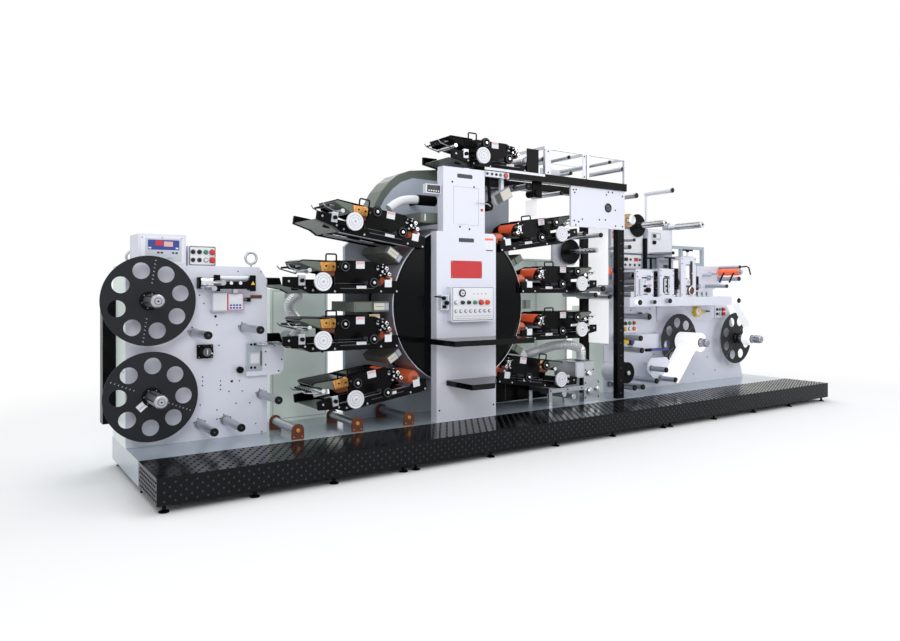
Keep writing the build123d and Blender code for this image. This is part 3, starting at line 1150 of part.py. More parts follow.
def right_face():
    """The right-hand face plate with its reels, low reel, label bar and button boxes."""
    y = CABINET_FACE
    outline = [(RIGHT_LEFT, BASE_TOP), (RIGHT_RIGHT, BASE_TOP), (RIGHT_RIGHT - 260, RIGHT_TOP - 105),
               (RIGHT_RIGHT - 360, RIGHT_TOP + 40), (RIGHT_RIGHT - 564, RIGHT_TOP + 40),
               (RIGHT_RIGHT - 564, RIGHT_TOP), (RIGHT_LEFT, RIGHT_TOP)]
    face = plate(outline, y, y + CABINET_PLATE)
    for x, z in RIGHT_REELS:
        face -= rod(x, z, SPINDLE_RADIUS + SEAT_GAP, y - 1, y + CABINET_PLATE + 1)
    x0, x1, z0, z1 = NAME_BAR
    face += box(RIGHT_LEFT + x0, RIGHT_LEFT + x1, y - NAME_BAR_THICKNESS, y, BASE_TOP + z0, BASE_TOP + z1)
    for x0, x1, z0, z1 in SIDE_BOXES:
        face += box(RIGHT_LEFT + x0, RIGHT_LEFT + x1, y - SIDE_BOX_DEPTH, y, BASE_TOP + z0, BASE_TOP + z1)
    x, z = LOW_REEL
    face += turned(x, z, [(0, LOW_REEL_FRONT), (LOW_REEL_RADIUS, LOW_REEL_FRONT),
                          (LOW_REEL_RADIUS, LOW_REEL_FRONT + 10), (LOW_ROLL_RADIUS, LOW_REEL_FRONT + 10),
                          (LOW_ROLL_RADIUS, y - 10), (SPINDLE_RADIUS, y - 10), (SPINDLE_RADIUS, y + 1),
                          (0, y + 1)])
    save("right_plate", face)
    for name, (x, z), turn, front in zip(("right_reel_left", "right_reel_right"), RIGHT_REELS, (10.0, 25.0),
                                         RIGHT_SHAFT_FRONTS):
        save(name, reel(x, z, y, front, turn))


def stations():
    """The bed of the finishing end with three die stations."""
    save("station_bed", box(RIGHT_LEFT + 60, RIGHT_LEFT + 1750, STATION_FACE - 6, CABINET_BACK - 100,
                            RIGHT_TOP,
                            BED_PLATE_TOP))
    blocks = [die_station(RIGHT_LEFT + a, RIGHT_LEFT + b, rise) for a, b, rise in STATIONS]
    a, b, rise = STATIONS[-1]
    blocks[-1] += pressure_screw(RIGHT_LEFT + (a + b) / 2, BED_PLATE_TOP + rise + BRIDGE_THICKNESS)
    save("die_station_cheeks", *blocks)
    cylinders = []
    for a, b, rise in STATIONS:
        x = RIGHT_LEFT + (a + b) / 2
        for z, radius in zip(die_heights(), (ANVIL_RADIUS, DIE_RADIUS)):
            cylinders.append(die_cylinder(x, z, radius))
    save("die_station_cylinders", *cylinders)


def winder():
    """The upper winder: mast, boxes on its face, winding shafts, the tall post and the guard frame."""
    left = RIGHT_LEFT
    y = MAST_FACE
    mast = box(left + MAST[0], left + MAST[1], y, y + MAST_THICKNESS, BED_PLATE_TOP, MAST_TOP)
    for x, z, _ in (*WINDER_SHAFTS, CORE_SHAFT):
        mast += rod(left + x, BED_PLATE_TOP + z, BOSS_RADIUS, y, y + MAST_THICKNESS)
    save("winder_mast", mast)
    boxes = [box(left + x0, left + x1, y - deep, y, BED_PLATE_TOP + z0, BED_PLATE_TOP + z1)
             for x0, x1, z0, z1, deep in UPPER_BOXES]
    post_x = (TALL_POST[0] + TALL_POST[1]) / 2
    post = box(left + TALL_POST[0], left + TALL_POST[1], y - TALL_POST_BACK, y - TALL_POST_BACK + 15,
               BED_PLATE_TOP + UPPER_BOXES[1][3], BED_PLATE_TOP + TALL_ROLLER_RISE)
    post += rod(left + post_x, BED_PLATE_TOP + TALL_ROLLER_RISE, ROLLER_RADIUS - 2, RIGHT_ROLLER_FRONT,
                y - TALL_POST_BACK + 15)
    save("winder_boxes", *boxes, post)
    winder_shafts()
    guard_frame()
    nip_plate()


def winder_shafts():
    """Two air shafts in front of the mast and the stub with the core roll."""
    left = RIGHT_LEFT
    front = BED_FACE - 25
    shafts = [turned(left + x, BED_PLATE_TOP + z, [(0, front), (r * 0.8, front), (r, front + r * 0.2),
                                                   (r, MAST_FACE), (0, MAST_FACE)]) for x, z,
                                                   r in WINDER_SHAFTS]
    x, z, r = CORE_SHAFT
    profile = [(0, STATION_FACE), (r, STATION_FACE), (r, STATION_FACE + 40), (CORE_ROLL_RADIUS,
                                                                              STATION_FACE + 40),
               (CORE_ROLL_RADIUS, CORE_ROLL_BACK), (r / 2, CORE_ROLL_BACK), (r / 2, MAST_FACE), (0,
                                                                                                 MAST_FACE)]
    shafts.append(turned(left + x, BED_PLATE_TOP + z, profile))
    save("winder_shafts", *shafts)


def guard_frame():
    """The welded guard rails right of the mast."""
    t = GUARD_RAIL
    y0 = MAST_FACE + MAST_THICKNESS / 2
    y1 = y0 + t
    guard = box(RIGHT_LEFT + MAST[1], GUARD_RIGHT, y0, y1, GUARD_HIGH - t, GUARD_HIGH)
    guard += box(GUARD_POST, GUARD_RIGHT, y0, y1, GUARD_LOW, GUARD_LOW + t)
    for x in (GUARD_POST, GUARD_RIGHT - t):
        guard += box(x, x + t, y0, y1, BED_PLATE_TOP, GUARD_HIGH)
    save("guard_frame", guard)


NIP_PLATE_LEFT = 414.0
NIP_PLATE_INNER = 125.0
NIP_PLATE_RIGHT = 45.0
NIP_PLATE_TOP = 68.0
NIP_PLATE_SLOPE = (205.0, 125.0)


def nip_plate():
    """The plate that carries the last nip roller."""
    x, z = NIP_ROLLER
    left = x - NIP_PLATE_LEFT
    inner = x - NIP_PLATE_INNER
    right = x + NIP_PLATE_RIGHT
    top = z + NIP_PLATE_TOP
    nip = [(left, BED_PLATE_TOP), (inner, BED_PLATE_TOP), (inner, z - NIP_PLATE_SLOPE[0]),
           (right, z - NIP_PLATE_SLOPE[1]), (right, top), (left, top)]
    save("nip_roller_plate", plate(nip, NIP_PLATE_FACE, NIP_PLATE_FACE + STATION_PLATE))


def build():
    os.makedirs("parts", exist_ok=True)
    base()
    column()
    column_treads()
    console()
    impression_drum()
    main_wall()
    arch_cover()
    print_units()
    drying_lamps()
    air_ducts()
    left_stand()
    left_stand_fittings()
    floor_rollers()
    idler_rollers()
    cabinets()
    portal()
    top_frame()
    hanging_panel()
    middle_reel()
    right_face()
    stations()
    winder()


build()
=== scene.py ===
# %% [markdown]
# # A rotary letterpress for labels
# A web of label stock leaves the reels on the left, runs round one large drum past eight print units,
# climbs over the portal to a ninth, and ends at the die stations and reels on the right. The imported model
# gives every piece its place. This lesson dresses that model: it keeps the shapes that are right and builds
# finer ones over the rest.

# %% Load the frame
import json
import math
import bmesh
import bpy
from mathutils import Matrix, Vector


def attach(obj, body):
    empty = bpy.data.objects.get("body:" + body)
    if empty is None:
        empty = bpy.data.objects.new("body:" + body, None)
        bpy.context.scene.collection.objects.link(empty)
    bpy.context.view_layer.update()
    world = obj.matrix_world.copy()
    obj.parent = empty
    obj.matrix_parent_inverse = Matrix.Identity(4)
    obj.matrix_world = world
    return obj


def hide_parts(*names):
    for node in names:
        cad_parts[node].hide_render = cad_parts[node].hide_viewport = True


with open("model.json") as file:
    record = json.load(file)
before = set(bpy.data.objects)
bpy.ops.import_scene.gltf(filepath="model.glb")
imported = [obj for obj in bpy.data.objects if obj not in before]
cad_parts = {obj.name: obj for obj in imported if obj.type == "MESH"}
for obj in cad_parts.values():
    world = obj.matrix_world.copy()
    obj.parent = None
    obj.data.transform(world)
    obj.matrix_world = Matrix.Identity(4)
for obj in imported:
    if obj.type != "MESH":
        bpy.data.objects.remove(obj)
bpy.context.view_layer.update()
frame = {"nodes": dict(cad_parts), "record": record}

# %% [markdown]
# ## Camera
# The picture was taken from the left end with the camera level, so upright posts stay upright. A level
# camera with a small vertical shift keeps them so, where a tilted one would make them lean.

# %% Camera
view_data = bpy.data.cameras.new("camera")
view_data.lens = 28.31
view_data.shift_y = -0.0337
camera = bpy.data.objects.new("camera", view_data)
camera.location = (-4.372, -4.84315, 1.250)
camera.rotation_euler = (math.radians(90), 0, math.radians(-34.59))
bpy.context.scene.collection.objects.link(camera)
bpy.context.scene.camera = camera
bpy.context.scene.view_settings.view_transform = "Standard"
print("camera at", tuple(camera.location))

# %% [markdown]
# ## Measures
# The drawing of the machine counts millimetres from its left front corner, so a helper turns those into
# metres about the part's origin. Colours are picked as they look on screen and turned into the linear
# values that shaders want.

# %% Measures
# The part's origin, in millimetres from the machine's left front corner.
ORIGIN_X = 3486.0
ORIGIN_Y = 698.15


def row(point):
    """Machine millimetres to metres in the part's frame."""
    return Vector(((point[0] - ORIGIN_X) / 1000, (point[1] - ORIGIN_Y) / 1000, point[2] / 1000))


def linear(*shades):
    """Screen values from 0 to 255 as linear colour."""
    parts = [s / 255 for s in shades]
    return [c / 12.92 if c < 0.04045 else ((c + 0.055) / 1.055) ** 2.4 for c in parts]


print("origin in metres", row((ORIGIN_X, ORIGIN_Y, 0)))

# %% [markdown]
# ## Finishes
# Nearly all of the press is painted sheet, turned steel or rubber. One function builds them all from Object
# coordinates: a slow noise varies the colour and the gloss, and a fine one raises the surface a little.
# Brushed metal stretches the noise, so that its lines run round a roller. Values that are the same all over
# sit on the shader itself.

# %% Finish builder
FINISHES = {}
GLOSSIEST = 0.03
GLOSSIER = 0.07
DULLER = 0.09


def finish(name, colour, rough=0.4, metal=0.0, coat=0.0, vary=0.08, patch=6.0, grain=220.0, lift=0.02,
           stretch=(1, 1, 1), level=0.5):
    """A painted, plated or moulded surface."""
    made = bpy.data.materials.new(name)
    made.use_nodes = True
    nodes = made.node_tree.nodes
    links = made.node_tree.links
    shader = nodes["Principled BSDF"]
    shader.inputs["Metallic"].default_value = metal
    shader.inputs["Coat Weight"].default_value = coat
    shader.inputs["Coat Roughness"].default_value = 0.12
    shader.inputs["Specular IOR Level"].default_value = level
    place = nodes.new("ShaderNodeTexCoord")
    turn = nodes.new("ShaderNodeMapping")
    turn.inputs["Scale"].default_value = stretch
    links.new(place.outputs["Object"], turn.inputs["Vector"])
    slow = nodes.new("ShaderNodeTexNoise")
    slow.inputs["Scale"].default_value = patch
    slow.inputs["Detail"].default_value = 5.0
    links.new(turn.outputs["Vector"], slow.inputs["Vector"])
    shade = nodes.new("ShaderNodeMix")
    shade.data_type = "RGBA"
    low = [c * (1 - vary) for c in colour]
    high = [min(1.0, c * (1 + vary)) for c in colour]
    shade.inputs["A"].default_value = (*low, 1)
    shade.inputs["B"].default_value = (*high, 1)
    links.new(slow.outputs["Fac"], shade.inputs["Factor"])
    links.new(shade.outputs["Result"], shader.inputs["Base Color"])
    gloss = nodes.new("ShaderNodeMapRange")
    gloss.inputs["To Min"].default_value = max(GLOSSIEST, rough - GLOSSIER)
    gloss.inputs["To Max"].default_value = min(1.0, rough + DULLER)
    links.new(slow.outputs["Fac"], gloss.inputs["Value"])
    links.new(gloss.outputs["Result"], shader.inputs["Roughness"])
    fine = nodes.new("ShaderNodeTexNoise")
    fine.inputs["Scale"].default_value = grain
    fine.inputs["Detail"].default_value = 3.0
    links.new(turn.outputs["Vector"], fine.inputs["Vector"])
    raised = nodes.new("ShaderNodeBump")
    raised.inputs["Strength"].default_value = 0.35
    raised.inputs["Distance"].default_value = lift / 1000
    links.new(fine.outputs["Fac"], raised.inputs["Height"])
    links.new(raised.outputs["Normal"], shader.inputs["Normal"])
    FINISHES[name] = made


# %% Paints and platings
AROUND = (1.0, 60.0, 1.0)
finish("black_gloss", linear(9, 9, 11), rough=0.27, coat=0.03, vary=0.35, grain=160, lift=0.05, level=0.06)
finish("black_satin", linear(14, 14, 16), rough=0.42, vary=0.3, level=0.06)
finish("drum_black", linear(7, 8, 10), rough=0.16, coat=0.05, vary=0.3, patch=2.0, lift=0.01, level=0.05)
finish("mantle_lavender", linear(164, 166, 178), rough=0.42, metal=0.5, vary=0.1, patch=14, stretch=AROUND)
finish("white_paint", linear(219, 221, 232), rough=0.34, coat=0.15, vary=0.03, patch=3.0, lift=0.04)
finish("white_plate", linear(228, 229, 234), rough=0.42, vary=0.03, patch=5.0)
finish("grey_paint", linear(160, 172, 182), rough=0.22, coat=0.4, vary=0.07, patch=2.5, lift=0.03)
finish("wall_grey", linear(186, 196, 208), rough=0.38, vary=0.06, patch=3.0)
finish("green_white", linear(206, 216, 210), rough=0.4, vary=0.04, patch=4.0)
finish("olive_grey", linear(98, 106, 98), rough=0.4, vary=0.1, patch=9.0)
finish("brass", linear(214, 158, 88), rough=0.34, metal=0.75, vary=0.2, patch=30, lift=0.06)
finish("copper_brown", linear(104, 56, 38), rough=0.42, metal=0.3, vary=0.25, patch=24)
finish("chrome", linear(216, 218, 222), rough=0.12, metal=1.0, vary=0.06, patch=20, lift=0.01)
finish("steel", linear(176, 179, 186), rough=0.32, metal=0.9, vary=0.12, patch=12, grain=90, stretch=AROUND)
finish("aluminium", linear(196, 200, 207), rough=0.3, metal=0.75, vary=0.08, patch=10, grain=90,
       stretch=AROUND)
finish("orange_rubber", linear(236, 98, 58), rough=0.45, vary=0.1, patch=30, lift=0.06)
finish("red_plastic", linear(206, 34, 40), rough=0.3, coat=0.2, vary=0.06)
finish("red_plate", linear(192, 26, 32), rough=0.4, vary=0.04, patch=8)
finish("green_plastic", linear(22, 142, 96), rough=0.3, coat=0.2)
finish("yellow_plastic", linear(240, 196, 40), rough=0.35)
finish("orange_plastic", linear(240, 110, 40), rough=0.35)
finish("blue_plastic", linear(34, 52, 150), rough=0.35)
finish("display_blue", linear(30, 58, 140), rough=0.15, coat=0.5, vary=0.25, patch=60)
finish("display_dark", linear(12, 14, 20), rough=0.16, coat=0.2, level=0.3)
finish("paper_web", linear(238, 238, 240), rough=0.6, vary=0.02, patch=40, lift=0.05, level=0.3)
finish("duct_silver", linear(206, 208, 212), rough=0.36, metal=0.6, vary=0.12, patch=40, lift=0.2)
finish("beige_box", linear(206, 203, 192), rough=0.45, vary=0.04)
finish("tread_dot", linear(56, 59, 66), rough=0.3, metal=0.5, vary=0.2, level=0.3)
finish("rim_grey", linear(92, 94, 98), rough=0.35, metal=0.4)
finish("pale_red", linear(226, 176, 178), rough=0.5, vary=0.03)
finish("dark_rubber", linear(24, 23, 25), rough=0.5, vary=0.2, patch=20, level=0.12)
finish("card_tan", linear(206, 160, 112), rough=0.6, vary=0.08, patch=20)
finish("plate_amber", linear(206, 98, 60), rough=0.4, vary=0.25, patch=18)
finish("plate_shade", linear(196, 200, 212), rough=0.3, coat=0.2, vary=0.05, patch=2.0)
finish("reel_black", linear(36, 38, 42), rough=0.45, vary=0.12, patch=12, level=0.15)
finish("deck_black", linear(7, 8, 10), rough=0.14, vary=0.3, patch=3.0, lift=0.02, level=0.16)
# Painted light: soft light leaves these duller than they are, so each glows a little in its own colour.
for name, glow in (("paper_web", 0.55), ("orange_rubber", 0.25), ("plate_amber", 0.12),
                   ("green_white", 0.2), ("duct_silver", 0.12)):
    shader = FINISHES[name].node_tree.nodes["Principled BSDF"]
    shade = shader.inputs["Base Color"].links[0].from_node
    shader.inputs["Emission Color"].default_value = shade.inputs["B"].default_value
    shader.inputs["Emission Strength"].default_value = glow
print("finishes", len(FINISHES))

# %% [markdown]
# ## A small workshop of solids
# Every piece below is gathered from solids given in machine millimetres: a prism cut from a drawn outline,
# a turned profile, a bar between two points, a pipe along a path. Their edges are broken by a narrow bevel,
# as on real metal, and the finished mesh keeps its place in its own points.

# %% Solids
WIDEST_CHAMFER = 0.4
TINY = 1e-6


def prism(outline, y0, y1):
    """A plate with an outline in x and z."""
    n = len(outline)
    points = [(x, y0, z) for x, z in outline] + [(x, y1, z) for x, z in outline]
    faces = [list(range(n)), list(range(2 * n - 1, n - 1, -1))]
    faces += [[k, (k + 1) % n, (k + 1) % n + n, k + n] for k in range(n)]
    return points, faces


def slab(x0, x1, y0, y1, z0, z1):
    """A block between two values on each axis."""
    return prism([(x0, z0), (x1, z0), (x1, z1), (x0, z1)], y0, y1)


def turned(profile, x, z, steps=32):
    """A profile of (radius, y) turned about an axis along y; one that leaves the axis closes on itself."""
    points = []
    rings = []
    for r, y in profile:
        if r == 0:
            rings.append([len(points)] * steps)
            points.append((x, y, z))
        else:
            rings.append(list(range(len(points), len(points) + steps)))
            points += [(x + r * math.cos(math.tau * k / steps), y, z + r * math.sin(math.tau * k / steps))
                       for k in range(steps)]
    pairs = list(zip(rings, rings[1:]))
    if profile[0][0] > 0:
        pairs.append((rings[-1], rings[0]))
    faces = []
    for a, b in pairs:
        for k in range(steps):
            loop = [a[k], a[(k + 1) % steps], b[(k + 1) % steps], b[k]]
            face = [p for i, p in enumerate(loop) if p not in loop[:i]]
            if len(face) > 2:
                faces.append(face)
    return points, faces


def rod(x, z, radius, y0, y1, chamfer=1.5, steps=28):
    """A turned bar across the machine with broken ends."""
    c = min(chamfer, radius * WIDEST_CHAMFER)
    profile = [(0, y0), (radius - c, y0), (radius, y0 + c), (radius, y1 - c), (radius - c, y1), (0, y1)]
    return turned(profile, x, z, steps)


def pipe(path, radius, steps=14):
    """A round tube along a path of points in any direction, closed at both ends."""
    path = [Vector(p) for p in path]
    side = Vector((0, 0, 1)).cross(path[1] - path[0])
    side = side.normalized() if side.length > TINY else Vector((1, 0, 0))
    points = []
    for k, p in enumerate(path):
        ahead = (path[min(k + 1, len(path) - 1)] - path[max(k - 1, 0)]).normalized()
        side = (side - ahead * side.dot(ahead)).normalized()
        up = ahead.cross(side)
        points += [p + (side * math.cos(math.tau * j / steps) + up * math.sin(math.tau * j / steps)) * radius
                   for j in range(steps)]
    faces = [list(range(steps)), list(range(len(points) - 1, len(points) - steps - 1, -1))]
    for k in range(len(path) - 1):
        a = k * steps
        b = a + steps
        faces += [[a + j, a + (j + 1) % steps, b + (j + 1) % steps, b + j] for j in range(steps)]
    return points, faces


def rounded(x0, x1, z0, z1, radius, steps=5):
    """The outline of a rectangle with round corners."""
    outline = []
    for cx, cz, start in ((x1 - radius, z1 - radius, 0), (x0 + radius, z1 - radius, 90),
                          (x0 + radius, z0 + radius, 180), (x1 - radius, z0 + radius, 270)):
        for k in range(steps + 1):
            a = math.radians(start + 90 * k / steps)
            outline.append((cx + radius * math.cos(a), cz + radius * math.sin(a)))
    return outline


# %% Piece
SHARP_EDGE = 0.6
SMOOTH_BELOW = math.radians(35)


class Piece:
    """Gathers solids, then becomes one mesh that rides on a body."""

    def __init__(self, name):
        self.name = name
        self.mesh = bmesh.new()
        self.finishes = []

    def number(self, finish_name):
        """The place of a finish in this piece's own list."""
        if finish_name not in self.finishes:
            self.finishes.append(finish_name)
        return self.finishes.index(finish_name)

    def add(self, solid, finish_name, put=None, edge=0.0):
        """Takes in one solid; put moves its points, and edge is the width of the bevel in millimetres."""
        points, faces = solid
        part = bmesh.new()
        corners = [part.verts.new(put(p) if put else p) for p in points]
        for face in faces:
            part.faces.new([corners[i] for i in face])
        bmesh.ops.recalc_face_normals(part, faces=part.faces)
        if edge:
            sharp = [e for e in part.edges if e.calc_face_angle(0) > SHARP_EDGE]
            bmesh.ops.bevel(part, geom=sharp, offset=edge, offset_type="OFFSET", segments=1, profile=0.5,
                            affect="EDGES", clamp_overlap=True)
        for face in part.faces:
            face.material_index = self.number(finish_name)
        held = bpy.data.meshes.new("held")
        part.to_mesh(held)
        part.free()
        self.mesh.from_mesh(held)
        bpy.data.meshes.remove(held)

    def many(self, make, rows, finish_name, put=None, edge=0.0):
        """Several solids of one kind and finish; each row holds the sizes of one."""
        for sizes in rows:
            self.add(make(*sizes), finish_name, put, edge)

    def join(self, grown):
        """Takes in a mesh that a node tree made, already in metres, with its own finishes."""
        for v in grown.vertices:
            v.co = (v.co.x * 1000 + ORIGIN_X, v.co.y * 1000 + ORIGIN_Y, v.co.z * 1000)
        # Blender adds a number to a finish's name where the frame has a material of that name.
        names = {made.name: name for name, made in FINISHES.items()}
        shift = {index: self.number(names[used.name]) for index, used in enumerate(grown.materials) if used}
        for polygon in grown.polygons:
            polygon.material_index = shift[polygon.material_index]
        self.mesh.from_mesh(grown)
        bpy.data.meshes.remove(grown)

    def done(self, body="machine_frame", stands_for=(), *, slot):
        data = bpy.data.meshes.new(self.name)
        for v in self.mesh.verts:
            v.co = row(v.co)
        self.mesh.to_mesh(data)
        self.mesh.free()
        for name in self.finishes:
            data.materials.append(FINISHES[name])
        data.shade_smooth()
        data.set_sharp_from_angle(angle=SMOOTH_BELOW)
        made = bpy.data.objects.new(self.name, data)
        bpy.context.scene.collection.objects.link(made)
        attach(made, body)
        if stands_for:
            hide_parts(*stands_for)
        print(self.name, "faces", len(data.polygons), "on", body)


# %% Finishes of the frame's own nodes
SLOT_FINISH = {
    "black_paint": "black_gloss", "tread_black": "black_satin", "white_paint": "white_paint",
    "grey_paint": "grey_paint", "steel": "steel", "chrome": "chrome", "aluminium": "aluminium",
    "black_plastic": "black_satin", "white_plastic": "white_plate", "orange_rubber": "orange_rubber",
    "copper_brown": "copper_brown"}
NODE_FINISH = {
    "left_reel_upper": "reel_black", "left_reel_lower": "reel_black", "right_reel_left": "reel_black",
    "right_reel_right": "reel_black", "step_deck": "deck_black", "column_treads": "deck_black",
    "idler_rollers": "steel", "drying_lamps": "olive_grey", "cabinets": "green_white",
    "arch_cover": "olive_grey", "main_wall": "wall_grey"}
for part in frame["record"]["subparts"]:
    shown = frame["nodes"][part["node"]]
    shown.data.materials.clear()
    used = NODE_FINISH.get(part["node"], SLOT_FINISH[part["material_slot"]])
    shown.data.materials.append(FINISHES[used])

# %% [markdown]
# ## Screws and dots grown on points
# A press has hundreds of screws and its step has thousands of raised dots. Placing each by hand would bury
# the script, so a small Geometry Nodes tree sets one low head on every point of a loose mesh and turns it
# along the direction stored there. The modifier's inputs are found by their identifiers, and the result
# becomes a plain mesh.

# %% Node trees
def tree_with(name, inputs):
    """An empty geometry tree with named inputs, and a way to reach them."""
    tree = bpy.data.node_groups.new(name, "GeometryNodeTree")
    tree.interface.new_socket(name="Geometry", in_out="INPUT", socket_type="NodeSocketGeometry")
    for label, kind in inputs:
        tree.interface.new_socket(name=label, in_out="INPUT", socket_type="NodeSocket" + kind)
    tree.interface.new_socket(name="Geometry", in_out="OUTPUT", socket_type="NodeSocketGeometry")
    return tree, tree.nodes.new("NodeGroupInput"), tree.nodes.new("NodeGroupOutput")


def finish_tree(tree, source, given, out):
    """Realize Instances and Set Material close every tree."""
    real = tree.nodes.new("GeometryNodeRealizeInstances")
    paint = tree.nodes.new("GeometryNodeSetMaterial")
    tree.links.new(source, real.inputs[0])
    tree.links.new(real.outputs[0], paint.inputs["Geometry"])
    tree.links.new(given.outputs["Finish"], paint.inputs["Material"])
    tree.links.new(paint.outputs[0], out.inputs[0])


def grow(tree, base, values):
    """Runs a tree on a mesh or curve and gives back a plain mesh."""
    holder = bpy.data.objects.new("seedbed", base)
    bpy.context.scene.collection.objects.link(holder)
    modifier = holder.modifiers.new("grow", "NODES")
    modifier.node_group = tree
    for socket in tree.interface.items_tree:
        if socket.in_out == "INPUT" and socket.name in values:
            modifier[socket.identifier] = values[socket.name]
    graph = bpy.context.evaluated_depsgraph_get()
    grown = bpy.data.meshes.new_from_object(holder.evaluated_get(graph))
    bpy.data.objects.remove(holder)
    return grown


TOP_SHARE = 0.7
heads, given, out = tree_with("screw_heads", [("Radius", "Float"), ("Height", "Float"), ("Sides", "Int"),
                                              ("Finish", "Material")])
facing = heads.nodes.new("GeometryNodeInputNamedAttribute")
facing.data_type = "FLOAT_VECTOR"
facing.inputs["Name"].default_value = "facing"
turn = heads.nodes.new("FunctionNodeAlignRotationToVector")
turn.axis = "Z"
heads.links.new(facing.outputs["Attribute"], turn.inputs["Vector"])
top_share = heads.nodes.new("ShaderNodeMath")
top_share.operation = "MULTIPLY"
top_share.inputs[1].default_value = TOP_SHARE
heads.links.new(given.outputs["Radius"], top_share.inputs[0])
cone = heads.nodes.new("GeometryNodeMeshCone")
heads.links.new(given.outputs["Sides"], cone.inputs["Vertices"])
heads.links.new(top_share.outputs[0], cone.inputs["Radius Top"])
heads.links.new(given.outputs["Radius"], cone.inputs["Radius Bottom"])
heads.links.new(given.outputs["Height"], cone.inputs["Depth"])
spread = heads.nodes.new("GeometryNodeInstanceOnPoints")
heads.links.new(given.outputs["Geometry"], spread.inputs["Points"])
heads.links.new(cone.outputs["Mesh"], spread.inputs["Instance"])
heads.links.new(turn.outputs["Rotation"], spread.inputs["Rotation"])
finish_tree(heads, spread.outputs["Instances"], given, out)


def studs(places, facing, radius, height, finish_name, sides=10):
    """Low heads at machine points, all facing one way; sizes in millimetres."""
    base = bpy.data.meshes.new("points")
    base.from_pydata([row(p) for p in places], [], [])
    stored = base.attributes.new("facing", "FLOAT_VECTOR", "POINT")
    stored.data.foreach_set("vector", [c for _ in places for c in facing])
    return grow(heads, base, {"Radius": radius / 1000, "Height": height / 1000, "Sides": sides,
                              "Finish": FINISHES[finish_name]})


FRONT = (0, -1, 0)
UP = (0, 0, 1)
LEFT = (-1, 0, 0)
print("tree", heads.name, "nodes", len(heads.nodes))

# %% [markdown]
# ## The step and the base
# The step is folded tread plate: raised dots in staggered rows on its top and smaller ones on its skirt.
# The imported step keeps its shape, and the dots are a piece of their own on it.

# %% Step dots
SKIRT_ROWS = (72, 98, 124, 150, 176)
SKIRT_DOT = 8.5
TOP_DOT = 10
DOT_HEIGHT = 5
DOT_SIDES = 6


def staggered(line, start, stop, pitch):
    """Places along one row of dots; every second row is set half a pitch on."""
    shift = line % 2 * pitch // 2
    return range(start + shift, stop + shift, pitch)


skirt = [(x, 1.0, z) for line, z in enumerate(SKIRT_ROWS) for x in staggered(line, 40, 7110, 60)]
top = [(x, y, 206.0) for line, y in enumerate(range(22, 480, 44)) for x in staggered(line, 40, 7110, 60)]
end_face = [(1.0, y, z) for line, z in enumerate(SKIRT_ROWS) for y in staggered(line, 30, 460, 40)]
dots = Piece("step_dots")
dots.join(studs(skirt, FRONT, SKIRT_DOT, DOT_HEIGHT, "tread_dot", DOT_SIDES))
dots.join(studs(top, UP, TOP_DOT, DOT_HEIGHT, "deck_black", DOT_SIDES))
dots.join(studs(end_face, LEFT, SKIRT_DOT, DOT_HEIGHT, "tread_dot", DOT_SIDES))
dots.done(slot="tread_black")

# %% [markdown]
# ## A print unit
# Each unit has a fixed bed and a carriage that slides back from the drum. The cheeks are black plate, with
# two hand wheels, a brass fountain block, the handle and the rollers between. Nine linked copies of one
# mesh would be shorter, but each carriage rides on a body of its own and some have other blocks and grips.
# So two functions draw a unit in its own measures, u away from the drum and w upwards, and a placing
# function sets it at its angle.

# %% Where the units are
DRUM_X, DRUM_Z = 2484.976, 1125.0
UNIT_REACH = 710.0
UNIT_ANGLES = ((52.5, 8.0), (17.0, 0.0), (-17.0, 0.0), (-52.5, -8.0))
TOP_UNIT = ("top", DRUM_X + 743, 2378.0, -1, 0.0)
TRAVEL = 140
DRAWN_BACK = ("left_4", "right_1", "right_2", "right_3", "top")
GRIP_NEAR_DRUM = ("right_1", "right_2", "right_3")
places = []
for k, (angle, tilt) in enumerate(UNIT_ANGLES):
    for side, word in ((-1, "left_"), (1, "right_")):
        a = math.radians(angle)
        places.append((word + str(k + 1), DRUM_X + side * UNIT_REACH * math.cos(a),
                       DRUM_Z + UNIT_REACH * math.sin(a), side, tilt))
places.append(TOP_UNIT)


def unit_put(x0, z0, side, tilt, opened=0.0):
    """A function from (u, y, w) in a unit to machine millimetres."""
    t = math.radians(tilt)
    return lambda p: (x0 + side * ((p[0] + opened) * math.cos(t) - p[2] * math.sin(t)), p[1],
                      z0 + (p[0] + opened) * math.sin(t) + p[2] * math.cos(t))


print("units", [p[0] for p in places])

# %% Wheels and screws
WHEEL_RADIUS = 42.0


def hand_wheel(piece, put, u, w, face):
    """A black moulded wheel with a chrome boss, on a spindle that reaches the cheek."""
    r = WHEEL_RADIUS
    rim = [(0, face + 9), (r - 20, face + 9), (r - 15, face + 2), (r - 9, face), (r - 3, face + 1),
           (r, face + 5), (r, face + 24), (r - 5, face + 29), (0, face + 29)]
    ring = [(r - 13, face + 0.5), (r - 12, face - 0.6), (r - 10, face - 0.6), (r - 9, face + 0.5)]
    boss = [(0, face - 8), (9, face - 8), (12, face - 5), (12, face + 12), (0, face + 12)]
    piece.add(turned(rim, u, w, 40), "black_satin", put)
    piece.add(turned(ring, u, w, 40), "rim_grey", put)
    piece.add(turned(boss, u, w, 24), "chrome", put)
    piece.add(rod(u, w, 12, face + 28, 602, 0.5, 16), "steel", put)


def cap_screw(piece, put, u, w, face, radius, length, finish_name):
    """A round screw head with a socket."""
    profile = [(0, face + 2), (radius * 0.45, face + 2), (radius * 0.5, face), (radius * 0.85, face),
               (radius, face + radius * 0.15), (radius, face + length), (0, face + length)]
    piece.add(turned(profile, u, w, 16), finish_name, put)


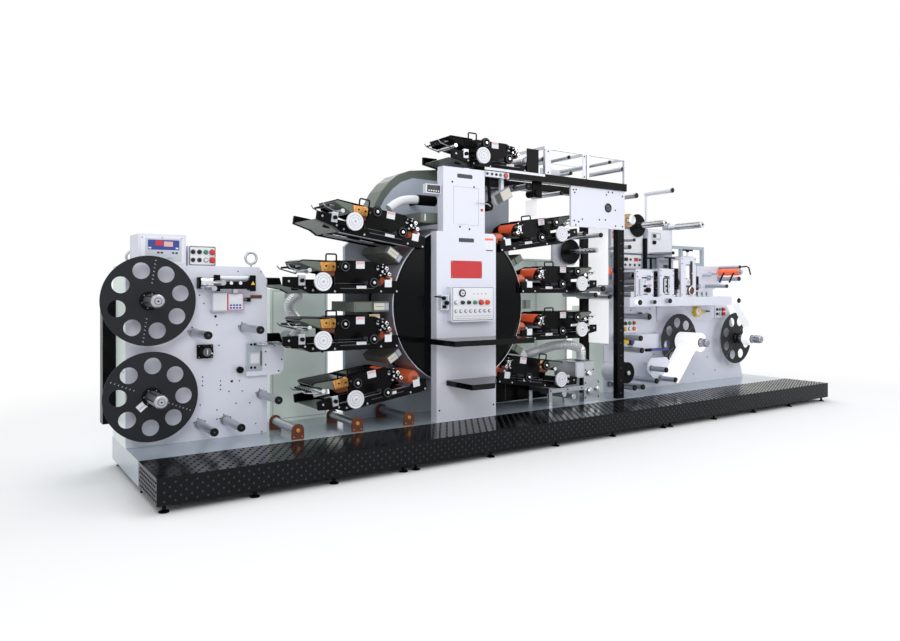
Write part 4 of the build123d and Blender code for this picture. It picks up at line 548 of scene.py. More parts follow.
# %% The fixed bed
NOSE = [(-63, -108), (660, -108), (720, -78), (860, -53), (860, 11), (720, 11), (700, -50), (80, -50),
        (40, -12.3), (-63, -12.3)]
SHIELD = [(660, -104), (720, -74), (856, -50), (856, -44), (700, -60), (660, -70)]
TIES = ((90, 190), (330, 430), (560, 660))
BED_SCREWS = ((-46, -92), (90, -92), (470, -92), (640, -84), (700, -66), (820, -20), (740, -4))


def bed(name, put):
    piece = Piece("bed_" + name)
    piece.many(prism, ((NOSE, 545, 570), (NOSE, 975, 1000)), "black_gloss", put, edge=2.5)
    piece.many(slab, [(u0, u1, 568, 977, -78, -56) for u0, u1 in TIES], "black_satin", put, edge=2)
    piece.many(slab, [(90, 660, y, y + 20, -56.5, -50) for y in (600, 870)], "steel", put, edge=1)
    piece.add(slab(150, 430, 542.5, 546, -72, -68), "rim_grey", put)
    piece.add(prism(rounded(150, 420, -92, -62, 8), 543.2, 546), "black_satin", put, edge=0.8)
    piece.many(slab, ((-2, 58, 543, 546, -60, -4), (214, 296, 542, 545, -72, -50)), "white_plate", put,
               edge=0.6)
    for u, w in BED_SCREWS:
        cap_screw(piece, put, u, w, 541, 8, 6, "steel")
    piece.many(pipe, [([(-50, y, -95), (640, y, -95)], 12, 16) for y in (640, 900)], "steel", put)
    piece.add(slab(540, 760, 645, 657, -84, -4), "black_satin", put, edge=2)
    piece.add(slab(700, 752, 532, 562, -52, 24), "steel", put, edge=4)
    piece.add(rod(726, -14, 15, 520, 534), "black_satin", put)
    piece.add(prism(SHIELD, 600, 960), "olive_grey", put, edge=2)
    piece.done(stands_for=["unit_" + name + "_bed"], slot="black_paint")


# %% The sliding carriage
CHEEK = [(110, -49.7), (470, -49.7), (470, 40), (690, 75), (712, 120), (690, 133), (430, 133), (110, 133),
         (22, 98), (-6, 56), (-6, 18), (60, 18)]
CHEEK_TO_FOUNTAIN = [(110, -49.7), (440, -49.7), (440, 133), (110, 133), (22, 98), (-6, 56), (-6, 18),
                     (60, 18)]
ROOF = [(180, 112), (430, 112), (430, 133), (180, 133)]
FOUNTAIN = [(432, 55), (548, 55), (560, 122), (476, 126), (432, 126)]
FOUNTAIN_FOOT = [(442, 18), (528, 22), (560, 56), (442, 54)]
TRAY = [(548, 60), (560, 56), (712, 112), (712, 121), (690, 131), (560, 126)]
TRAY_LIP = [(470, 127), (690, 133), (714, 120), (716, 126), (692, 138), (470, 134)]
BIG_CAPS = ((36, 80, 17), (14, 37, 17))
SMALL_CAPS = ((52, 108, 9, 578), (66, 92, 7, 560), (62, 58, 11, 566), (50, 40, 7, 552), (92, 100, 8, 574),
              (30, 60, 8, 560), (78, 30, 8, 570))
CHEEK_SCREWS = ((124, 118), (124, -36), (300, -20), (426, -36), (300, 60), (160, 60), (352, 118), (340, 98))


def grip(u0, u1, top):
    """The path of a handle with round shoulders."""
    return [(u0, 610, 125), (u0, 610, top - 10), (u0 + 4, 610, top - 2), (u0 + 13, 610, top),
            (u1 - 13, 610, top), (u1 - 4, 610, top - 2), (u1, 610, top - 10), (u1, 610, 125)]


def ink_levers(piece, put):
    """The row of zone levers behind the fountain, and the two wires beside them."""
    for y in range(632, 880, 34):
        piece.add(pipe([(700, y, 92), (742, y, 84)], 4.5, 8), "steel", put)
        piece.add(pipe([(738, y, 84.6), (750, y, 82.4)], 8, 10), "black_satin", put)
    for y in (640, 850):
        piece.add(pipe([(640, y, 40), (770, y, 74), (790, y, 96)], 5, 8), "steel", put)


def carriage(name, put, form_finish):
    near = name in GRIP_NEAR_DRUM
    dark = name == "top"
    piece = Piece("carriage_" + name)
    piece.add(prism(CHEEK_TO_FOUNTAIN, 600, 620), "black_gloss", put, edge=2.5)
    piece.add(prism(CHEEK, 870, 890), "black_gloss", put, edge=2.5)
    piece.add(prism(ROOF, 602, 888), "black_gloss", put, edge=3)
    piece.add(prism(rounded(192, 424, 126, 139, 6), 640, 870), "black_satin", put, edge=1)
    label = 302 if near else 200
    piece.add(slab(label, label + 72, 597.5, 601, 78, 133), "white_plate", put, edge=0.6)
    piece.add(slab(label + 4, label + 68, 596.8, 598, 112, 129), "pale_red", put)
    hand_wheel(piece, put, 197, -28, 452)
    hand_wheel(piece, put, 414, 87, 486)
    block = "black_satin" if near or dark else "brass"
    foot = "black_satin" if near or dark else "copper_brown"
    piece.add(prism(FOUNTAIN, 603, 640), block, put, edge=3)
    piece.many(slab, ((436, 478, 597, 605, 62, 120), (492, 536, 597, 605, 66, 118)), block, put, edge=3)
    for u, w in ((457, 90), (514, 94)):
        cap_screw(piece, put, u, w, 592, 7, 8, "black_satin")
    piece.add(prism(FOUNTAIN_FOOT, 602, 640), foot, put, edge=4)
    piece.add(prism(TRAY, 606, 888), "black_satin" if dark else "olive_grey", put, edge=3)
    piece.add(prism(TRAY_LIP, 604, 890), "black_gloss", put, edge=1.5)
    piece.add(rod(636, 62, 17, 608, 882), "chrome", put)
    # The lowest right carriage slides past a web roller's bracket, where levers would not clear it.
    if name != "right_4":
        ink_levers(piece, put)
    piece.add(pipe(grip(121, 224, 172) if near else grip(427, 510, 182), 6, 12), "black_satin", put)
    piece.add(rod(88, 80, 36, 621, 869, 4), form_finish, put)
    piece.add(rod(88, 80, 12, 596, 621, 1), "steel", put)
    piece.many(rod, [(u, w, r, 621, 869, 3) for u, w, r in ((140, 20, 34), (220, 66, 38), (310, 20, 38))],
               "steel", put)
    for u, w, r in BIG_CAPS:
        piece.add(turned([(0, 545), (r - 5, 545), (r, 550), (r, 601), (0, 601)], u, w, 24), "chrome", put)
        piece.add(turned([(0, 541), (6, 541), (7, 546), (0, 546)], u, w, 12), "black_satin", put)
    for u, w, r, face in SMALL_CAPS:
        cap_screw(piece, put, u, w, face, r, 600 - face + 1, "chrome" if r > 8 else "steel")
    piece.add(slab(6, 60, 566, 600, 50, 66), "black_satin", put, edge=3)
    piece.add(slab(40, 96, 572, 600, 84, 112), "black_satin", put, edge=4)
    piece.add(slab(24, 40, 556, 600, 8, 24), "copper_brown", put, edge=2)
    piece.add(slab(110, 440, 598.5, 601, -34, -31), "rim_grey", put)
    for u, w in CHEEK_SCREWS:
        cap_screw(piece, put, u, w, 597, 6, 5, "black_satin")
    piece.done("unit_" + name + "_carriage", ["unit_" + name + "_carriage"], slot="black_paint")


# %% The setting dial
DIAL_AT = (594, -23)
DIAL_FACE = [(0, 466), (12, 466), (13, 463), (22, 463), (23, 466), (36, 466), (37, 464.6), (40, 464.6),
             (41, 466), (58, 466), (61, 464), (66, 467), (66, 482), (0, 482)]


def dial(piece, put):
    """A white scale disc with fine rings and a plain middle."""
    piece.add(turned(DIAL_FACE, *DIAL_AT, 48), "white_plate", put)
    for r in (30, 47):
        ring = [(r, 466.3), (r, 465.4), (r + 1.6, 465.4), (r + 1.6, 466.3)]
        piece.add(turned(ring, *DIAL_AT, 48), "rim_grey", put)
    piece.add(turned([(0, 461), (7, 461), (8, 464), (0, 464)], *DIAL_AT, 20), "steel", put)
    piece.add(rod(594, -66, 12, 470, 546), "steel", put)


# %% Set the nine units
dials = Piece("dials")
cylinders = Piece("plate_rollers")
for name, x0, z0, side, tilt in places:
    opened = TRAVEL if name in DRAWN_BACK else 0
    fixed = unit_put(x0, z0, side, tilt)
    bed(name, fixed)
    carriage(name, unit_put(x0, z0, side, tilt, opened), "orange_rubber" if opened else "dark_rubber")
    dial(dials, fixed)
    cylinders.add(rod(0, 0, 55, 630, 860, 3, 40), "steel" if name == "top" else "plate_amber", fixed)
    cylinders.add(turned([(50, 631), (50, 626), (53, 624), (53, 631)], 0, 0, 40), "steel", fixed)
    cylinders.add(rod(0, 0, 12, 550, 995, 1, 16), "steel", fixed)
dials.done(stands_for=["unit_dials"], slot="white_plastic")
cylinders.done(stands_for=["plate_cylinders"], slot="orange_rubber")

# %% [markdown]
# ## The drum
# The drum shows one sheet of polished black with a bright rim. Its mantle behind is bare metal, and from
# the left end it appears as a pale band beside the black. Each of the four finishes is a turned profile of
# its own, so that the seams between them stay crisp.

# %% Drum
DRUM_PARTS = (
    ([(0, 545.3), (70, 545.3), (70, 585), (622, 585), (628, 580), (641, 580), (641, 598), (0, 598)],
     "drum_black"),
    ([(641, 581), (646, 580), (650, 584), (650, 596), (641, 596)], "steel"),
    ([(600, 597), (644, 597), (644, 944), (600, 944)], "mantle_lavender"),
    ([(0, 943), (646, 943), (650, 947), (650, 960), (70, 960), (70, 1029.7), (0, 1029.7)], "drum_black"))
drum = Piece("drum")
for profile, used in DRUM_PARTS:
    drum.add(turned(profile, DRUM_X, DRUM_Z, 112), used)
drum.done("impression_drum", ["impression_drum"], slot="black_paint")

# %% [markdown]
# ## Column and console
# The column's own node keeps its vents and panel groove. What it lacks is colour: a bare red plate, small
# labels, and the console's gauge, buttons and keys. The dark floors in the vents are painted shade.
# Paint in the shader would need an image or blur at its edges, so every mark is a thin plate that stands
# a little proud of the face.

# %% Plates, buttons and rows of screws
def turned_put(x, z, angle):
    """Turns points about an axis along y, then moves them to x and z."""
    c, s = math.cos(math.radians(angle)), math.sin(math.radians(angle))
    return lambda p: (x + p[0] * c - p[2] * s, p[1], z + p[0] * s + p[2] * c)


def button(piece, x, z, back, radius, used, length, collar="rim_grey"):
    """A push button in its collar; length is how far it stands out."""
    ring = [(0, back), (radius + 4, back), (radius + 4, back - 3), (radius + 1, back - 5), (0, back - 5)]
    piece.add(turned(ring, x, z, 20), collar)
    piece.add(rod(x, z, radius, back - length, back, 2.5, 20), used)


def panel(piece, x0, x1, z0, z1, back, used, thick=3.0, radius=4.0):
    """A thin plate with round corners on a face at y = back."""
    piece.add(prism(rounded(x0, x1, z0, z1, radius, 3), back - thick, back + 0.3), used, edge=0.7)


def screws(piece, y, spots, radius, height, used):
    """Heads that face the front, at spots of x and z on a face at y."""
    piece.join(studs([(x, y, z) for x, z in spots], FRONT, radius, height, used))


# %% Column marks
marks = Piece("column_marks")
# The dark plate and slats at each vent are painted shade inside the vent.
for x, z in ((2460, 2170), (2475, 1654)):
    marks.add(prism(rounded(x - 76, x + 76, z - 15, z + 15, 9, 4), 494.3, 495.2), "display_dark")
    for m in range(x - 68, x + 69, 17):
        marks.add(slab(m - 4.4, m + 4.4, 497.5, 499.2, z - 17.8, z + 17.8), "display_dark")
for sizes in ((2322, 2632, 1346, 1487, 495, "red_plate", 2.5),
              (2607, 2656, 1846, 1932, 495, "white_plate", 1.2),
              (2664, 2752, 1570, 1650, 495, "white_plate", 1.0)):
    panel(marks, *sizes)
marks.add(slab(2618, 2644, 493.2, 494, 1896, 1918), "red_plate")
marks.add(slab(2664, 2750, 494, 495.3, 1662, 1678), "orange_plastic")
marks.add(slab(2672, 2744, 493.4, 494.2, 1574, 1582), "display_dark")
screws(marks, 494, ((2335, 2115), (2551, 2090), (2411, 1760), (2505, 1745), (2212, 300), (2752, 300)), 8, 4,
       "black_satin")
screws(marks, 491.5, ((2332, 1356), (2622, 1356), (2332, 1477), (2622, 1477)), 5, 3, "steel")
marks.done(slot="white_paint")

# %% Console face
CONSOLE_X, CONSOLE_WIDTH = 2285, 430
CONSOLE_BUTTONS = (("white_plate", 12), ("display_dark", 13), ("display_dark", 13), ("green_plastic", 13),
                   ("red_plastic", 19), ("red_plastic", 19))
GAUGE_X, GAUGE_Z = 2388, 1226.6
desk = Piece("console_face")
panel(desk, 2296, 2704, 1008, 1274, 435, "rim_grey", 1.2, 10)
panel(desk, 2300, 2700, 1012, 1270, 434, "white_plate", 1.4, 9)
for k, (used, r) in enumerate(CONSOLE_BUTTONS):
    collar = "yellow_plastic" if k == 5 else "rim_grey"
    button(desk, CONSOLE_X + CONSOLE_WIDTH * (k + 0.7) / 7, 1152, 433, r, used, 24, collar)
for k in range(8):
    button(desk, CONSOLE_X + CONSOLE_WIDTH * (k + 0.9) / 9, 1083, 433, 10, "white_paint", 12)
gauge_rim = [(0, 424), (20, 424), (22, 421), (30, 422), (31, 434), (0, 434)]
desk.add(turned(gauge_rim, GAUGE_X, GAUGE_Z, 28), "display_dark")
desk.add(rod(GAUGE_X, GAUGE_Z, 20, 423, 425, 0.5, 24), "white_plate")
desk.many(slab, [(2386.5, 2389.5, 422, 423.4, 1214, 1240), (2374, 2402, 422, 423.4, 1225.2, 1228.2)]
          + [(x, x + 8, 432, 433, 1216, 1224) for x in range(2500, 2621, 40)], "display_dark")
desk.many(slab, [(2320, 2680, 432.3, 433, z, z + 2) for z in (1024, 1042)], "rim_grey")
desk.done(stands_for=["console_buttons"], slot="black_plastic")

# %% Plugs, displays and the swing box
head = Piece("column_fittings")
head.add(slab(2205, 2262, 447, 450.4, 1104, 1204), "grey_paint", edge=2)
for x, z, r in ((2216, 1188, 15), (2222, 1120, 13), (2244, 1150, 17)):
    head.add(rod(x, z, r, 425, 450, 3, 16), "black_satin")
head.add(pipe([(2216, 428, 1188), (2200, 418, 1190), (2176, 424, 1196), (2150, 470, 1200)], 6, 10),
         "black_satin")
panel(head, 2120, 2240, 2022, 2080, 530, "display_dark")
head.many(slab, [(x, x + 12, 524.5, 527.4, 2030, 2040) for x in range(2130, 2219, 22)], "white_plate")
swing = turned_put(2899.5, 2050, 28)
for sizes, used, edge in (((-94, 94, 546, 551, -47, 47), "olive_grey", 3),
                          ((-20, 90, 544, 547, -42, 42), "beige_box", 2),
                          ((-80, -28, 543, 547, -36, 36), "display_dark", 3),
                          ((-97, -94, 556, 626, -40, 40), "white_plate", 1)):
    head.add(slab(*sizes), used, swing, edge)
head.add(rod(2752, 1952, 38, 540, 640, 5), "black_satin")
head.add(pipe([(2560, 470, 1962), (2700, 500, 1962), (2752, 536, 1952)], 4, 10), "beige_box")
head.add(pipe([(2752, 600, 1952), (2796, 600, 2010), (2780, 600, 2200)], 15, 12), "black_satin")
head.add(pipe([(2690, 575, 1962), (2752, 575, 1952)], 5, 10), "steel")
for x, r, used in ((2680, 8, "display_dark"), (2728, 8, "display_dark"), (2774, 8, "display_dark"),
                   (2820, 10, "green_plastic"), (2876, 19, "red_plastic")):
    button(head, x, 2212, 485, r, used, 14)
head.add(slab(2664, 3330, 496.5, 500.3, 2246, 2268), "white_plate", edge=1)
head.done(slot="white_paint")

# %% [markdown]
# ## Reels
# The black discs keep their own nodes. Each gets the scale ticks along two of its radii and a ribbed air
# shaft over the plain one, and turns with its body. The ribs are one slab turned in equal steps. An array
# round an empty would do the same, but a helper that turns points needs no extra object. Two of the reels
# on the right carry paper.

# %% Reel fittings
SHAFT_RIBS = 6
DISC_FACE = 800.2


def shaft_sleeve(piece, x, z, front, back, r, turn=0.0):
    """A ribbed steel air shaft of radius r with a stepped nose."""
    sleeve = [(0, front - 3), (r * 0.42, front - 3), (r * 0.46, front), (r * 0.8, front), (r, front + 6),
              (r, back), (0, back)]
    ring = [(r * 0.5, front - 3.4), (r * 0.56, front - 3.4), (r * 0.56, front - 2), (r * 0.5, front - 2)]
    piece.add(turned(sleeve, x, z, 36), "steel")
    piece.add(rod(x, z, r * 0.16, front - 5, front, 1, 12), "display_dark")
    piece.add(turned(ring, x, z, 32), "rim_grey")
    for k in range(SHAFT_RIBS):
        along = turned_put(x, z, turn + 360 / SHAFT_RIBS * k)
        piece.add(slab(r - 2, r + 1.2, front + 22, back - 6, -6, 6), "rim_grey", along, 1)
        piece.add(slab(r - 2, r + 2.6, front + 26, back - 10, -2.5, 2.5), "chrome", along, 0.8)
        for y in range(int(front) + 60, int(back) - 30, 52):
            piece.add(slab(r - 1, r + 3, y, y + 14, -5, 5), "display_dark", along)


def reel_dress(name, x, z, front, turn, first_line):
    """The air shaft, its flange with screws, and two rows of scale ticks on opposite radii."""
    piece = Piece(name)
    shaft_sleeve(piece, x, z, front - 1, 799.5, 41.5, turn)
    piece.add(turned([(43, 800.3), (43, 788), (58, 788), (62, 792), (62, 800.3)], x, z, 36), "black_satin")
    for line in (first_line, first_line + 180):
        ticks = turned_put(x, z, turn + line)
        for r in range(118, 269, 25):
            piece.add(slab(r, r + 1.6, 799.2, DISC_FACE, -5, 5), "white_plate", ticks)
            piece.add(slab(r, r + 6, 799.2, DISC_FACE, 2, 3.4), "white_plate", ticks)
    around = [math.radians(turn + 60 * k) for k in range(6)]
    screws(piece, 788, [(x + 50 * math.cos(a), z + 50 * math.sin(a)) for a in around], 4, 4, "steel")
    return piece


def roll(piece, x, z, radius, y0, y1):
    """A wound roll with its card core showing at the front."""
    wound = [(48, y0), (radius - 2, y0), (radius, y0 + 2), (radius, y1 - 2), (radius - 2, y1), (48, y1)]
    piece.add(turned(wound, x, z, 64), "paper_web")
    piece.add(turned([(43, y0 - 4), (48, y0 - 4), (48, y1 + 4), (43, y1 + 4)], x, z, 40), "copper_brown")


# %% The reels
for name, body, x, z, front, turn, first_line in (
        ("upper_left_reel", "left_reel_upper", 127, 1180, 545, 14, 67.5),
        ("lower_left_reel", "left_reel_lower", 141, 548, 520, -2, 157.5),
        ("first_right_reel", "right_reel_left", 5570, 695, 440, 10, 22.5),
        ("second_right_reel", "right_reel_right", 6617, 688, 480, 25, 22.5)):
    made = reel_dress(name, x, z, front, turn, first_line)
    if body == "left_reel_lower":
        label = turned_put(81, 490, 40)
        made.add(slab(-30, 30, 799, DISC_FACE, -24, 24), "white_plate", label)
        made.add(slab(-24, 24, 798.6, 799.2, -6, -3), "display_dark", label)
    if body == "right_reel_left":
        roll(made, x, z, 100, 530, 786)
    if body == "right_reel_right":
        roll(made, x, z, 75, 600, 690)
        made.add(turned([(43, 752), (60, 752), (60, 764), (43, 764)], x, z, 40), "black_satin")
    made.done(body, slot="black_paint")
small = Piece("middle_reel_shaft")
shaft_sleeve(small, 4016, 1626, 539, 879, 23)
small.done("middle_reel", slot="black_paint")

# %% [markdown]
# ## The left reel stand
# The white face plate is full of tapped holes, which look like small dark discs from the shade inside them.
# Cutting them would cost thousands of triangles, so the screw tree sets a low dark head at each, its dark
# colour painted shade in place of the hole. Boxes with displays stand on the plate and hang from it, built up
# from thin plates with round corners.

# %% Holes in the left plate
LEFT_IDLERS = ((435, 955), (784, 979), (913, 490), (653, 329), (475, 319))
PLATE_HOLES = ((745, 1385), (915, 1385), (475, 1215), (505, 1157), (595, 1005), (610, 860), (680, 530),
               (755, 600), (480, 450), (595, 405), (730, 440), (775, 525), (830, 435), (595, 340), (875, 280),
               (920, 215))
left = Piece("left_stand_details")
holes = [(x + dx, z + dz) for x, z in LEFT_IDLERS for dx, dz in ((-36, 12), (-10, 38), (38, 16))]
holes += [(x, z + dz) for x, z in ((495, 615), (620, 578)) for dz in (-30, 0, 30)]
# The dark heads on the holes are painted shade from each hole's depth.
screws(left, 899, [*holes, *PLATE_HOLES], 5, 3, "black_satin")
screws(left, 898, ((585, 1065), (700, 600)), 9, 5, "black_satin")
print("holes", len(holes) + len(PLATE_HOLES))

# %% Boxes of the left stand
# Each row holds x0, x1, z0, z1, the face behind, the finish, and where they differ the thickness and corners.
LEFT_PANELS = (
    (92, 370, 1430, 1615, 905, "white_plate", 3, 10),
    (122, 356, 1446, 1600, 902, "plate_shade", 1.5, 6),
    (138, 340, 1523, 1590, 900.5, "display_blue", 1),
    (407, 586, 1423, 1554, 905, "display_dark", 1.5, 8),
    (412, 581, 1428, 1549, 903.5, "white_plate", 1.5, 6),
    (556, 650, 1110, 1226, 850, "white_plate", 3),
    (652, 767, 1108, 1228, 850, "red_plastic", 3),
    (660, 763, 1112, 1224, 847, "white_paint", 1.5),
    (668, 752, 1162, 1216, 845.5, "duct_silver", 1),
    (797, 912, 664, 869, 870, "grey_paint", 2, 6),
    (813, 906, 712, 803, 868, "steel", 2),
    (826, 890, 724, 790, 866, "white_plate", 1.5))
for sizes in LEFT_PANELS:
    panel(left, *sizes)
left.add(slab(186, 232, 898, 899.6, 1552, 1584), "red_plastic")
left.add(slab(240, 298, 898, 899.6, 1546, 1580), "pale_red")
left.many(slab, [(x - 9, x + 9, 898, 899.6, 1530, 1540) for x in (150, 325)], "white_plate")
left.many(slab, [(x - 7, x + 7, 898.6, 900.8, 1498, 1509) for x in (204, 226, 300, 322)], "display_dark")
left.many(slab, [(x, x + 34, 898.6, 900.8, 1464, 1472) for x in (150, 262)], "grey_paint")
screws(left, 901, ((104, 1604), (358, 1604), (230, 1606)), 5, 3, "steel")
left.add(slab(543, 584, 899, 902, 1440, 1481), "orange_plastic", edge=3)
for k, (high, low) in enumerate((("display_dark", "display_dark"), ("display_dark", "display_dark"),
                                 ("green_plastic", "white_plate"), ("red_plastic", "red_plastic"))):
    x = 431 + k * 44
    stop_button = k == 3
    button(left, x, 1516, 902, 17 if stop_button else 13, high, 26 if stop_button else 14)
    button(left, x, 1460, 902, 17 if stop_button else 12, low, 28 if stop_button else 12)
left.many(slab, [(x, x + 14, 843.6, 845.6, z, z + 11) for z in (1119, 1138) for x in range(670, 737, 22)],
          "blue_plastic")
left.add(pipe([(766, 872, 1182), (800, 872, 1182)], 12, 14), "rim_grey")
left.add(pipe([(798, 872, 1182), (824, 872, 1182)], 16, 14), "black_satin")
left.add(slab(835, 918, 892, 900.3, 1190, 1214), "copper_brown", edge=2)
left.add(slab(548, 650, 868, 899.8, 1094, 1107), "steel", edge=2)
left.add(rod(509, 822, 30, 826, 832, 1), "rim_grey")
left.add(slab(506, 512, 824, 829, 806, 840), "white_plate")
left.add(rod(541, 812, 6, 825, 832, 1, 12), "white_plate")
screws(left, 878, ((466, 785), (552, 785), (466, 860), (552, 860)), 4, 4, "steel")
left.add(slab(897, 908, 860, 867, 704, 808), "rim_grey", edge=1)
screws(left, 866, ((830, 858), (856, 858), (830, 692), (858, 690)), 9, 6, "black_satin")
screws(left, 869, ((938, 802), (938, 707), (1002, 844), (1037, 656), (1060, 740)), 6, 4, "black_satin")
left.add(pipe([(862, 852, 862), (990, 852, 848)], 9, 12), "chrome")
left.done(slot="white_paint")

# %% Web guide
guide = Piece("web_guide")
guide.add(slab(560, 841, 800, 812, 1258, 1312), "black_gloss", edge=2)
for x in (545, 797):
    guide.add(slab(x, x + 44, 796, 812, 1242, 1356), "black_gloss", edge=3)
    guide.add(slab(x + 11, x + 33, 810, 900, 1250, 1340), "black_gloss", edge=2)
    guide.add(prism([(x + 8, 1288), (x + 36, 1288), (x + 22, 1314)], 794.6, 796.3), "yellow_plastic")
guide.add(pipe([(462, 836, 1300), (548, 836, 1300)], 36, 28), "chrome")
guide.add(slab(454, 476, 830, 900, 1260, 1340), "black_satin", edge=4)
guide.add(slab(680, 715, 806, 840, 1227, 1260), "steel", edge=2)
guide.add(pipe([(588, 850, 1334), (798, 850, 1334)], 16, 16), "white_plate")
guide.many(rod, [(x, 1300, 12, 794, 802, 1) for x in (665, 730)], "white_plate")
guide.done(stands_for=["web_guide_bracket"], slot="black_paint")

# %% Roller caps
CAP_RADIUS = 27.0
STATION_IDLERS = ((4795, 982), (4665, 772), (4680, 650), (4575, 287), (4695, 286), (4904, 331),
                  (5055, 432), (5202, 320))
OTHER_CAPS = ((3350, 2410, 534, 22), (3874, 2390, 534, 22), (4374, 2420, 534, 22), (4599, 2185, 560, 25),
              (5150, 2281, 560, 25), (6359, 1379, 590, 25), (6130, 1295, 590, 20), (6375, 1513, 590, 18),
              (1048, 269, 542, 32), (1512, 269, 542, 32), (1955, 269, 542, 32))


def rubber_cap(piece, x, z, y, radius):
    """The black cap that closes a roller's front end."""
    profile = [(0, y - 3), (radius - 3, y - 3), (radius, y), (radius + 0.6, y + 10), (0, y + 10)]
    piece.add(turned(profile, x, z, 24), "dark_rubber")
    piece.add(rod(x, z, radius * 0.2, y - 5, y - 2, 1, 10), "rim_grey")


caps = Piece("roller_caps")
for x, z in LEFT_IDLERS:
    rubber_cap(caps, x, z, 540, CAP_RADIUS)
for x, z in STATION_IDLERS:
    rubber_cap(caps, x, z, 560, CAP_RADIUS)
for sizes in OTHER_CAPS:
    rubber_cap(caps, *sizes)
caps.done(slot="aluminium")

# %% [markdown]
# ## Ducts
# The air ducts are wire hoses, with a ridge every thirteen millimetres. A bevelled curve gives only a
# smooth tube, so the rings of a mesh tube are moved in and out by turns along a smooth path.

# %% Hoses
HOSE_PITCH = 13.0
HOSE_SIDES = 24


def hose(path, radius, ridge=2.2):
    """A corrugated hose along a smooth path."""
    path = [Vector(p) for p in path]
    fine = []
    for k in range(len(path) - 1):
        a, b, c, d = path[max(k - 1, 0)], path[k], path[k + 1], path[min(k + 2, len(path) - 1)]
        count = max(2, int((c - b).length / HOSE_PITCH * 2))
        for j in range(count):
            t = j / count
            bend = (2 * a - 5 * b + 4 * c - d) * t * t + (3 * b - a - 3 * c + d) * t ** 3
            fine.append(0.5 * (2 * b + (c - a) * t + bend))
    fine.append(path[-1])
    points, faces = pipe(fine, radius, HOSE_SIDES)
    for k, middle in enumerate(fine):
        swell = 1 + (ridge if k % 2 else -ridge) / radius
        for j in range(k * HOSE_SIDES, (k + 1) * HOSE_SIDES):
            points[j] = middle + (points[j] - middle) * swell
    return points, faces


ducts = Piece("hoses")
ducts.add(hose([(3480, 952, 640), (3640, 950, 668), (3800, 905, 712), (3930, 815, 722), (4006, 752, 690),
                (4020, 750, 640), (4020, 750, 583)], 45), "duct_silver")
ducts.add(hose([(1275, 1100, 1205), (1215, 1100, 1150), (1222, 1100, 1080), (1278, 1100, 1000),
                (1280, 1100, 935), (1235, 1100, 880)], 42), "duct_silver")
ducts.many(rod, [(x, z, 50, 1100, 1240, 4) for x, z in ((1275, 1205), (1235, 880))], "steel")
ducts.add(hose([(1906, 760, 1896), (1960, 760, 1936), (2030, 760, 1970), (2110, 760, 1984),
                (2172, 760, 1987)], 35, 0.6), "white_plate")
ducts.add(pipe([(2170, 760, 1987), (2182, 760, 1987), (2330, 760, 1987), (2340, 760, 1987)], 43, 32),
          "black_satin")
ducts.add(pipe([(2165, 760, 1987), (2178, 760, 1987)], 38, 28), "rim_grey")
ducts.add(rod(2255, 1987, 22, 760, 1000, 2), "black_satin")
flange = [(0, 579), (60, 579), (66, 585), (66, 586), (0, 586)]
ducts.add(turned(flange, 4020, 640, 8), "steel", lambda p: (p[0], p[2] + 110, p[1]))
ducts.done(stands_for=["air_ducts"], slot="aluminium")

# %% Lamp houses
lamps = Piece("lamp_fronts")
for angle, tip in ((180, 803), (212, 792), (147, 803)):
    turn = turned_put(DRUM_X, DRUM_Z, angle)
    lamps.add(slab(708, tip - 2, 595, 598.4, -26, 26), "beige_box", turn, 2)
    lamps.add(slab(718, tip - 18, 594, 595.4, -2, 2), "olive_grey", turn, 0.6)
    lamps.add(slab(664, 700, 606, 610.4, -27, 27), "mantle_lavender", turn, 2)
lamps.add(slab(1536, 1670, 606, 610.4, 1094, 1156), "olive_grey", edge=3)
lamps.add(slab(2112, 2300, 606, 610.3, 1793, 1866), "olive_grey", edge=3)
lamps.many(slab, [(x, x + 14, 600, 610, 1800, 1858) for x in (2140, 2270)], "steel", edge=2)
lamps.add(slab(1668, 1760, 640, 648, 1010, 1066), "white_plate", edge=2)
lamps.add(slab(1668, 1756, 637, 640.5, 1052, 1060), "yellow_plastic")
lamps.done(slot="grey_paint")

# %% [markdown]
# ## Low rollers and the nip stand
# Three web rollers lie low on the base between round-backed brackets, and a bare steel stand closes the
# row. Such brackets are cut from plate, so each is one drawn outline given a thickness.

# %% Low brackets and nip stand
STAND = [(3471, 207), (3511, 207), (3511, 317), (3913, 317), (3913, 207), (4117, 207), (4117, 397),
         (4047, 397), (4047, 581), (3913, 581), (3913, 357), (3471, 357)]
STAND_SCREWS = ((3490, 338), (3700, 338), (3880, 338), (3930, 380), (3930, 500), (4030, 500), (4100, 380),
                (4100, 240), (3930, 240))
HALF_TURN = [math.radians(a) for a in range(0, 181, 15)]
low = Piece("low_brackets")
for x in (1048, 1512, 1955):
    outline = [(x - 46, 207), (x + 46, 207)]
    outline += [(x + 46 * math.cos(a), 269 + 46 * math.sin(a)) for a in HALF_TURN]
    low.many(prism, [(outline, y, y + 12) for y in (530, 962)], "copper_brown", edge=1.5)
    low.add(rod(x, 269, 14, 524, 531, 2), "brass")
    screws(low, 529, ((x - 30, 225), (x + 30, 225)), 6, 5, "brass")
low.many(prism, [(STAND, y, y + 20) for y in (600, 870)], "steel", edge=1.5)
low.add(slab(3803, 3953, 601, 889, 431, 581), "steel", edge=2)
low.many(slab, ((3913, 4047, 601, 889, 561, 581), (3471, 3511, 601, 889, 317, 357)), "steel", edge=1)
panel(low, 3815, 3905, 443, 570, 601, "aluminium")
screws(low, 598, STAND_SCREWS, 7, 5, "black_satin")
for x, z, r in ((3985, 300, 34), (4075, 320, 22), (3965, 470, 26)):
    knob = [(0, 572), (r * 0.8, 572), (r, 578), (r, 592), (r * 0.5, 596), (r * 0.5, 601), (0, 601)]
    low.add(turned(knob, x, z, 28), "chrome")
low.many(rod, ((3640, 300, 26, 575, 889, 3), (3760, 268, 26, 575, 889, 3)), "aluminium")
low.add(slab(2800, 3810, 993, 1000.3, 212, 400), "black_gloss", edge=2)
